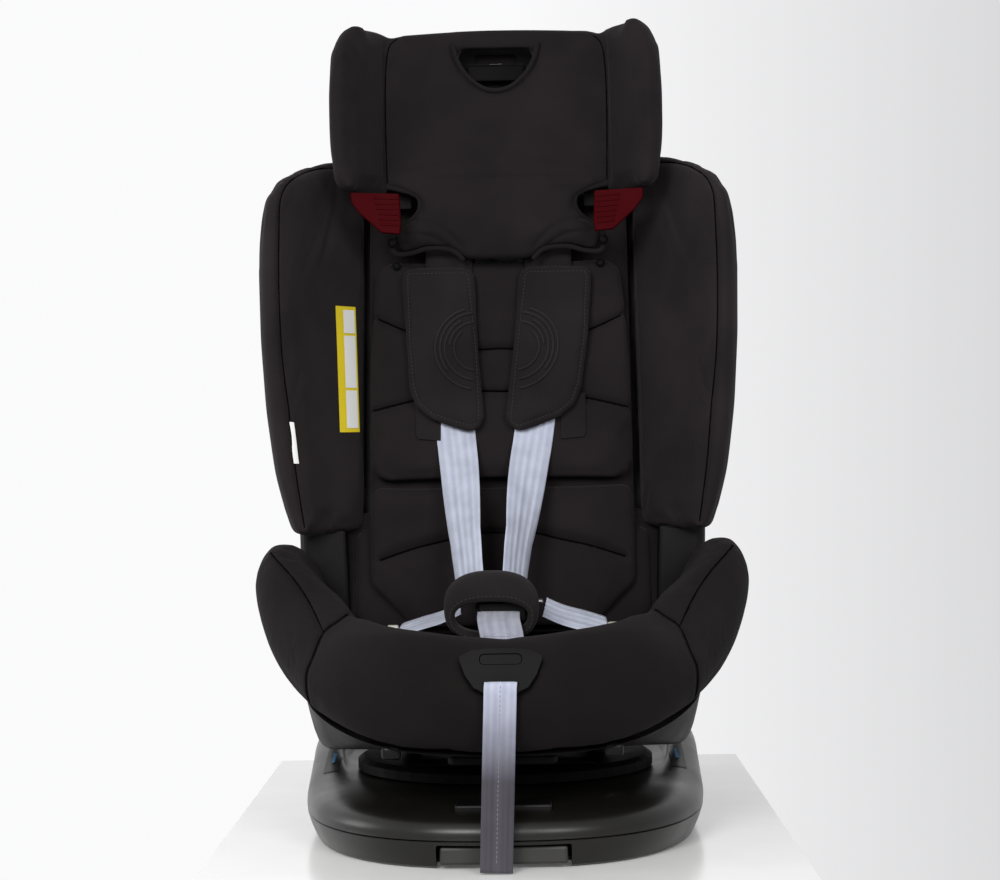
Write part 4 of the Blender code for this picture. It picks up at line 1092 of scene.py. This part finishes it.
def shape_headrest(obj):
    """Opens the pocket nearly to the top edge and joins cushion and wings into one cover."""
    points = coordinates(obj.data)
    x, z = points[:, 0], points[:, 2]
    upper_edge = (abs(x) < POCKET_RADIUS + 0.001) & (abs(z - POCKET_CENTRE) < 0.0015)
    rim = (np.hypot(x, z - POCKET_CENTRE) < POCKET_RADIUS + 0.0085) & (z < 0.749)
    z[upper_edge] = POCKET_TOP
    x[rim] *= pocket_taper(z[rim])
    near_wing = np.clip((abs(x) - 0.040) / 0.075, 0, 1)
    swell = np.where(x > 0, 0.0085, 0.0060)
    z += swell * near_wing**2 * (3 - 2 * near_wing) * np.clip((z - 0.700) / 0.055, 0, 1)
    put_coordinates(obj.data, points)
    bm = bmesh.new()
    bm.from_mesh(obj.data)
    web = [(0.0940, 0.6100), (0.1200, 0.6030), (0.1290, 0.6400)]
    web += [(0.1290, 0.7500), (0.1200, 0.7555), (0.0940, 0.7535)]
    for side in (-1, 1):
        bm.from_mesh(plate(mirrored(web, side), -0.0500, -0.0300))
    bm.to_mesh(obj.data)
    bm.free()


# The cover's lower edge, from the wing's foot round the lobe to the middle
LOBE_EDGE = [(0.1130, 0.6020), (0.1000, 0.6000), (0.0800, 0.5930), (0.0765, 0.5810), (0.0830, 0.5700)]
LOBE_EDGE += [(0.0970, 0.5590), (0.1055, 0.5480), (0.1010, 0.5350), (0.0860, 0.5350)]
LOBE_EDGE += [(0.0680, 0.5395), (0.0460, 0.5375), (0.0340, 0.5275)]


def make_headrest():
    lines = both_sides(flat_spline(HEADREST_SEAM))
    folds = both_sides(flat_spline([(0.0360, 0.5400), (0.0560, 0.5600), (0.0820, 0.5680)]))
    folds += both_sides(flat_spline([(0.0500, 0.5420), (0.0700, 0.5520), (0.0920, 0.5540)]))
    nodes = ("headrest_cushion", "headrest_wing_l", "headrest_wing_r")
    pad = make_pad("headrest_cover", nodes, lines, voxel=0.0040, cap=0.0030, smooth_steps=9,
                   seam_depth=0.0022, half_width=0.0055, body="headrest", shape=shape_headrest)
    sew(pad, [seen_from_front(pad, fold) for fold in folds], 0.0026, 0.0080)
    relax_region(pad, lambda place: abs(place.x) > 0.092 and place.z > 0.735, 30)
    for index, line in enumerate(lines):
        seam_shade_line(f"headrest_seam_{index}", pad, line, "headrest")
    for side, tag in SIDES:
        flat = spline([(side * x, -0.0480, z) for x, z in LOBE_EDGE], 8)
        edge = [back_point(place.x, -place.y, place.z) for place in flat]
        tube(f"lobe_binding_{tag}", edge, 0.0024, BINDING, "headrest", 3)
        dome(f"snap_{tag}", back_point(side * 0.1035, 0.0570, 0.5450), 0.0045, DARK, "headrest")
        dome(f"snap_base_{tag}", back_point(side * 0.1010, 0.0265, 0.5240), 0.0040, DARK, "seat")
        under = mirrored(box_outline((0.086, 0.582), (0.132, 0.622)), side)
        cloth_piece(f"wing_liner_{tag}", plate(under, -0.0260, -0.0230), BINDING, "headrest", 0.001)
    make_pocket()


def make_pocket():
    """The sewn edge of the pocket and the dark lining behind the handle."""
    rim = []
    for k in range(25):
        angle = math.pi + math.pi * k / 24
        reach = POCKET_RADIUS + 0.0005
        z = POCKET_CENTRE + reach * math.sin(angle)
        rim.append((reach * math.cos(angle) * float(pocket_taper(z)), z))
    rim = [(-0.0430, POCKET_TOP)] + rim + [(0.0430, POCKET_TOP)]
    edge = [back_point(x, 0.0560, z) for x, z in rim]
    tube("pocket_binding", edge, 0.0022, BINDING, "headrest", 3)
    panels = [((-0.045, 0.696), (-0.006, 0.7515)), ((0.006, 0.696), (0.045, 0.7515))]
    panels += [((-0.006, 0.7330), (0.006, 0.7515)), ((-0.006, 0.696), (0.006, 0.7140))]
    for index, (low, high) in enumerate(panels):
        lining = plate(box_outline(low, high), -0.0072, -0.0060)
        cloth_piece(f"pocket_lining_{index}", lining, BINDING, "headrest")


def dome(name, place, radius, material, body, flat=0.55):
    """A button or screw head, half a sphere flattened in y."""
    bm = bmesh.new()
    bmesh.ops.create_uvsphere(bm, u_segments=24, v_segments=12, radius=radius)
    turn = Matrix.Translation(place) @ Matrix.Diagonal((1, flat, 1, 1))
    bmesh.ops.transform(bm, matrix=turn, verts=bm.verts)
    obj = coat(add_object(name, mesh_of(bm)), material)
    obj.data.shade_smooth()
    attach(obj, body)


TEETH_LOW, TEETH_PITCH = 0.5580, 0.0052


def make_guide_teeth():
    """Ridges that grip a belt, on the face of each red guide."""
    for side, tag in SIDES:
        bm = bmesh.new()
        for k in range(6):
            z = TEETH_LOW + TEETH_PITCH * k
            outer = 0.1130 + 0.0012 * k
            ridge = [(0.0960, z), (outer, z + 0.0012), (outer, z + 0.0030), (0.0960, z + 0.0022)]
            bm.from_mesh(plate(mirrored(ridge, side), -0.0992, -0.0975))
        hard_piece(f"guide_teeth_{tag}", mesh_of(bm), RED, "headrest", 0.0004, 2)


PAD_OUTLINE = [(0.0860, 0.5150), (0.0270, 0.5150), (0.0205, 0.4400), (0.0190, 0.3680), (0.0260, 0.3640)]
PAD_OUTLINE += [(0.0640, 0.3765), (0.0770, 0.3880), (0.0820, 0.4050), (0.0845, 0.4500)]
PAD_INNER_X = 0.0205
ARC_X, ARC_Z = 0.0200, 0.4395
ARC_RADIUS, ARC_PITCH = 0.0215, 0.0046


def pad_lean(side, z):
    """How far a well-used pad hangs to the left of its straight solid."""
    low = np.clip((0.4700 - z) / 0.095, 0, 1)
    if side < 0:
        return -0.0035 + 0.0015 * low
    return -0.0090 * low


def leaning(points, side):
    return [(x + float(pad_lean(side, z)), z) for x, z in points]


def lean_pad(obj, side):
    points = coordinates(obj.data)
    points[:, 0] += pad_lean(side, points[:, 2])
    put_coordinates(obj.data, points)


def make_pad_rings(pad, side, tag):
    """Broken rings in relief, cut off at the pad's inner edge, lighter than the pad as a painted highlight
    on their ridges.
    """
    for index in range(5):
        radius = ARC_RADIUS + ARC_PITCH * index
        start, end = (96, 150 + 22 * index) if index % 2 else (128 - 6 * index, 262)
        arc = []
        for k in range(25):
            angle = math.radians(start + (end - start) * k / 24)
            x = ARC_X - radius * math.cos(angle)
            if x > PAD_INNER_X:
                arc.append((side * x, ARC_Z + radius * math.sin(angle)))
        path = lifted(seen_from_front(pad, leaning(arc, side), 0.0015), pad, 0.0009)
        tube(f"harness_pad_ring_{tag}_{index}", path, 0.0012, RING_HIGHLIGHT, "headrest")


def make_shoulder_pads():
    for side, tag in SIDES:
        pad = make_pad(f"harness_pad_{tag}", (f"shoulder_pad_{tag}",), [], voxel=0.0025, cap=0.0016,
                       material=PAD, smooth_steps=4, body="headrest",
                       shape=lambda obj: lean_pad(obj, side))
        seam = leaning(mirrored(PAD_OUTLINE + PAD_OUTLINE[:1], side), side)
        sew(pad, [seen_from_front(pad, seam)], 0.0012, 0.0035)
        path = lifted(seen_from_front(pad, seam, 0.003), pad, 0.0004)
        stitches(f"harness_pad_stitches_{tag}", path, THREAD, "headrest")
        make_pad_rings(pad, side, tag)
        flap = [(0.0585, 0.3500), (0.0810, 0.3520), (0.0830, 0.3560), (0.0830, 0.3950), (0.0585, 0.3950)]
        flap = plate(mirrored(flap, side), -0.0285, -0.0265)
        hard_piece(f"pad_flap_{tag}", flap, PAD, "headrest", 0.0008)


HOOD_X = -0.0095


def hood_ring(half, low, high, y, count=48, power=2.4):
    """A rounded ring of the buckle's hood, between two heights at one y."""
    middle, reach = (low + high) / 2, (high - low) / 2
    ring = []
    for k in range(count):
        angle = math.tau * k / count
        x = HOOD_X + half * signed_power(math.cos(angle), 2 / power)
        ring.append((x, y, middle + reach * signed_power(math.sin(angle), 2 / power)))
    return ring


def make_crotch_pad():
    """A thick hood over the buckle, whose mouth lets the crotch strap out."""
    outside = [(0.0405, 0.1770, 0.2290, -0.0490), (0.0430, 0.1700, 0.2340, -0.0560)]
    outside += [(0.0430, 0.1690, 0.2310, -0.0700), (0.0420, 0.1690, 0.2240, -0.0800)]
    outside += [(0.0395, 0.1710, 0.2150, -0.0870), (0.0355, 0.1750, 0.2080, -0.0880)]
    inside = [(0.0325, 0.1790, 0.2050, -0.0850), (0.0325, 0.1790, 0.2080, -0.0760)]
    inside += [(0.0335, 0.1780, 0.2120, -0.0600), (0.0370, 0.1765, 0.2220, -0.0500)]
    rings = [hood_ring(half, low, high, y) for half, low, high, y in outside + inside]
    bm = bmesh.new()
    rows = [[bm.verts.new(point) for point in ring] for ring in rings]
    join_rows(bm, rows + rows[:1])
    bmesh.ops.recalc_face_normals(bm, faces=bm.faces)
    pad = add_object("buckle_pad", mesh_of(bm))
    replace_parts(pad, "crotch_pad")
    subdivided(pad, 2)
    coat(pad, PAD)
    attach(pad, "seat")
    mouth = [Vector(place) for place in hood_ring(0.0372, 0.1730, 0.2112, -0.0882)]
    mouth.append(mouth[0])
    stitches("buckle_pad_stitches", lifted(mouth, pad, 0.0002), THREAD, "seat")


# ---- harness


# Shoulder strap: x, how far it hangs to the left, forward of the back cushion's face, and z
STRAP_ON_BACK = [(0.0480, 0, -0.0385, z) for z in (0.3560, 0.4400, 0.5300, 0.6100)]
STRAP_ON_BACK += [(0.0480, 0, -0.0360, 0.6330), (0.0480, 0, -0.0220, 0.6440), (0.0480, 0, 0.0100, 0.6450)]
STRAP_ON_BACK += [(0.0480, 0, 0.0220, 0.6390), (0.0485, 0, 0.0262, 0.6180), (0.0490, 0, 0.0262, 0.5600)]
STRAP_ON_BACK += [(0.0480, 0.001, 0.0262, 0.5000), (0.0450, 0.002, 0.0270, 0.4400)]
STRAP_ON_BACK += [(0.0410, 0.005, 0.0275, 0.3850), (0.0375, 0.006, 0.0280, 0.3520)]
# Its free stretch down to the buckle: x, how far it hangs to the left, y and z
STRAP_IN_AIR = [(0.0335, 0.007, 0.0960, 0.3240), (0.0280, 0.0085, 0.0580, 0.2800)]
STRAP_IN_AIR += [(0.0230, 0.0095, 0.0250, 0.2400), (0.0195, 0.0095, 0.0080, 0.2030)]


def shoulder_route(side):
    route = [back_point(side * x - left, forward, z) for x, left, forward, z in STRAP_ON_BACK]
    return route + [Vector((side * x - left, y, z)) for x, left, y, z in STRAP_IN_AIR]


def box_stitch(name, centre, half_width, half_height, tilt, body):
    """A sewn rectangle with its two diagonals, on a strap's face."""
    corners = [(-half_width, -half_height), (half_width, -half_height)]
    corners += [(half_width, half_height), (-half_width, half_height)]
    loop = corners + [corners[0], corners[2], corners[3], corners[1]]
    path = [Vector(centre) + Vector((x, z * tilt[0], z * tilt[1])) for x, z in loop]
    stitches(name, path, PALE_THREAD, body, 0.0020, 0.0008, 0.0004)


STRAP_TURN = {-1: 48, 1: 56}
LAP_ACROSS = {-1: (0.0, 1.0, 0.30), 1: (0.0, 0.85, 0.55)}
LAP_HALF_WIDTH = 0.016
SHELL_FRONT_Y = 0.16


def strap_turn(side, point):
    """The width direction of a shoulder strap, which turns inward towards the buckle."""
    if point.y >= SHELL_FRONT_Y:
        return Vector((1, 0, 0))
    turned = math.radians(STRAP_TURN[side]) * min(1.0, max(0.0, (0.36 - point.z) / 0.10))
    return Vector((math.cos(turned), side * math.sin(turned), 0))


def web(strap, material, node):
    """Coats a harness strap and puts it in place of its CAD node."""
    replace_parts(coat(strap, material), node)
    return strap


def make_shoulder_strap(side, tag):
    route = spline(shoulder_route(side), 6)
    strap = ribbon(f"harness_strap_{tag}", route, STRAP_HALF_WIDTH, lambda point: strap_turn(side, point))
    web(strap, STRAP, f"shoulder_strap_{tag}")
    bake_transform(strap)
    sleeve = evenly([back_point(side * 0.0490, 0.0285, z) for z in (0.6000, 0.5600, 0.5150)], 0.005)
    sleeve = ribbon(f"pad_sleeve_{tag}", sleeve, STRAP_HALF_WIDTH + 0.0040)
    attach(coat(sleeve, PAD), "headrest")


def make_lap_strap(side, tag):
    hip = [(side * 0.0390, 0.0020, 0.1945), (side * 0.0560, 0.0040, 0.1868)]
    hip += [(side * 0.0780, 0.0100, 0.1800), (side * 0.0980, 0.0180, 0.1730)]
    lap = ribbon(f"lap_strap_{tag}", spline(hip, 6), LAP_HALF_WIDTH, lambda point: Vector(LAP_ACROSS[side]))
    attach(web(lap, STRAP, f"hip_strap_{tag}"), "seat")
    middle = side * 0.1035
    end = box_mesh((middle - 0.0055, 0.0080, 0.1640), (middle + 0.0055, 0.0300, 0.1780))
    hard_piece(f"strap_anchor_{tag}", end, CREAM, "seat", 0.002)


def make_harness():
    for side, tag in SIDES:
        make_shoulder_strap(side, tag)
        make_lap_strap(side, tag)
    crotch = [(0, -0.1240, 0.1280), (0, -0.1240, 0.1600), (0, -0.1130, 0.1760)]
    crotch += [(-0.0030, -0.0930, 0.1900), (-0.0030, -0.0710, 0.1960)]
    strap = ribbon("buckle_strap", spline(crotch, 6), STRAP_HALF_WIDTH)
    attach(web(strap, BUCKLE_STRAP, "crotch_strap"), "seat")
    box_stitch("buckle_strap_stitches", (-0.0010, -0.1085, 0.1806), 0.0150, 0.0055, (0.80, 0.60), "seat")


# ---- small details on the base


def deck_mark(name, cover, centre, half, lift, cells, material):
    """A patch over an (x, y) rectangle, dropped onto the base from above."""
    (x, y), (a, b) = centre, half
    corners = [(x + i * a, y + j * b, 0.5) for i, j in ((-1, -1), (1, -1), (1, 1), (-1, 1))]
    mesh = laid_on(cover, corners, (0, 0, -1), lift, cells)
    hard_piece(name, mesh, material, "base")


WINDOW_X, WINDOW_Y = 0.1580, -0.005


def make_deck_windows(cover):
    """Small dark indicator windows on the rim, each with a plain coloured mark."""
    blue = plain("blue_mark", (0.020, 0.13, 0.26), 0.4)
    for side, tag in SIDES:
        place = (side * WINDOW_X, WINDOW_Y)
        deck_mark(f"indicator_{tag}", cover, place, (0.007, 0.040), 0.0004, (4, 12), GLOSS)
        deck_mark(f"indicator_mark_{tag}", cover, place, (0.0015, 0.015), 0.0008, (2, 6), blue)


BACK_DEPTH = 0.0824
RIB_LOW, RIB_PITCH = 0.262, 0.055


def make_back_details():
    """Stiffening ribs, screws and a blank rating plate on the moulded back."""
    for index in range(6):
        z = RIB_LOW + RIB_PITCH * index
        rib = plate(box_outline((-0.096, z), (0.096, z + 0.0045)), BACK_DEPTH - 0.0010, BACK_DEPTH + 0.0022)
        hard_piece(f"back_rib_{index}", rib, SHELL, "seat", 0.0012)
    for side, tag in SIDES:
        for index, z in enumerate((0.235, 0.400, 0.575)):
            place = back_point(side * 0.166, -0.0362, z)
            dome(f"back_screw_{tag}_{index}", place, 0.0045, STEEL, "seat", 0.35)
    outline = box_outline((-0.045, 0.2180), (0.045, 0.2480))
    label = plate(outline, BACK_DEPTH - 0.0005, BACK_DEPTH + 0.0004)
    hard_piece("blank_rating_plate", label, CREAM, "seat")


# ---- the scene


make_adjuster_strap()
coat_nodes()
make_lights()
make_stage()
make_base()
make_seat_shell()
make_back_details()
make_lower_cover()
make_back_wings()
make_inserts()
make_headrest()
make_guide_teeth()
make_shoulder_pads()
make_crotch_pad()
make_harness()

SCENE.view_settings.view_transform = "Standard"
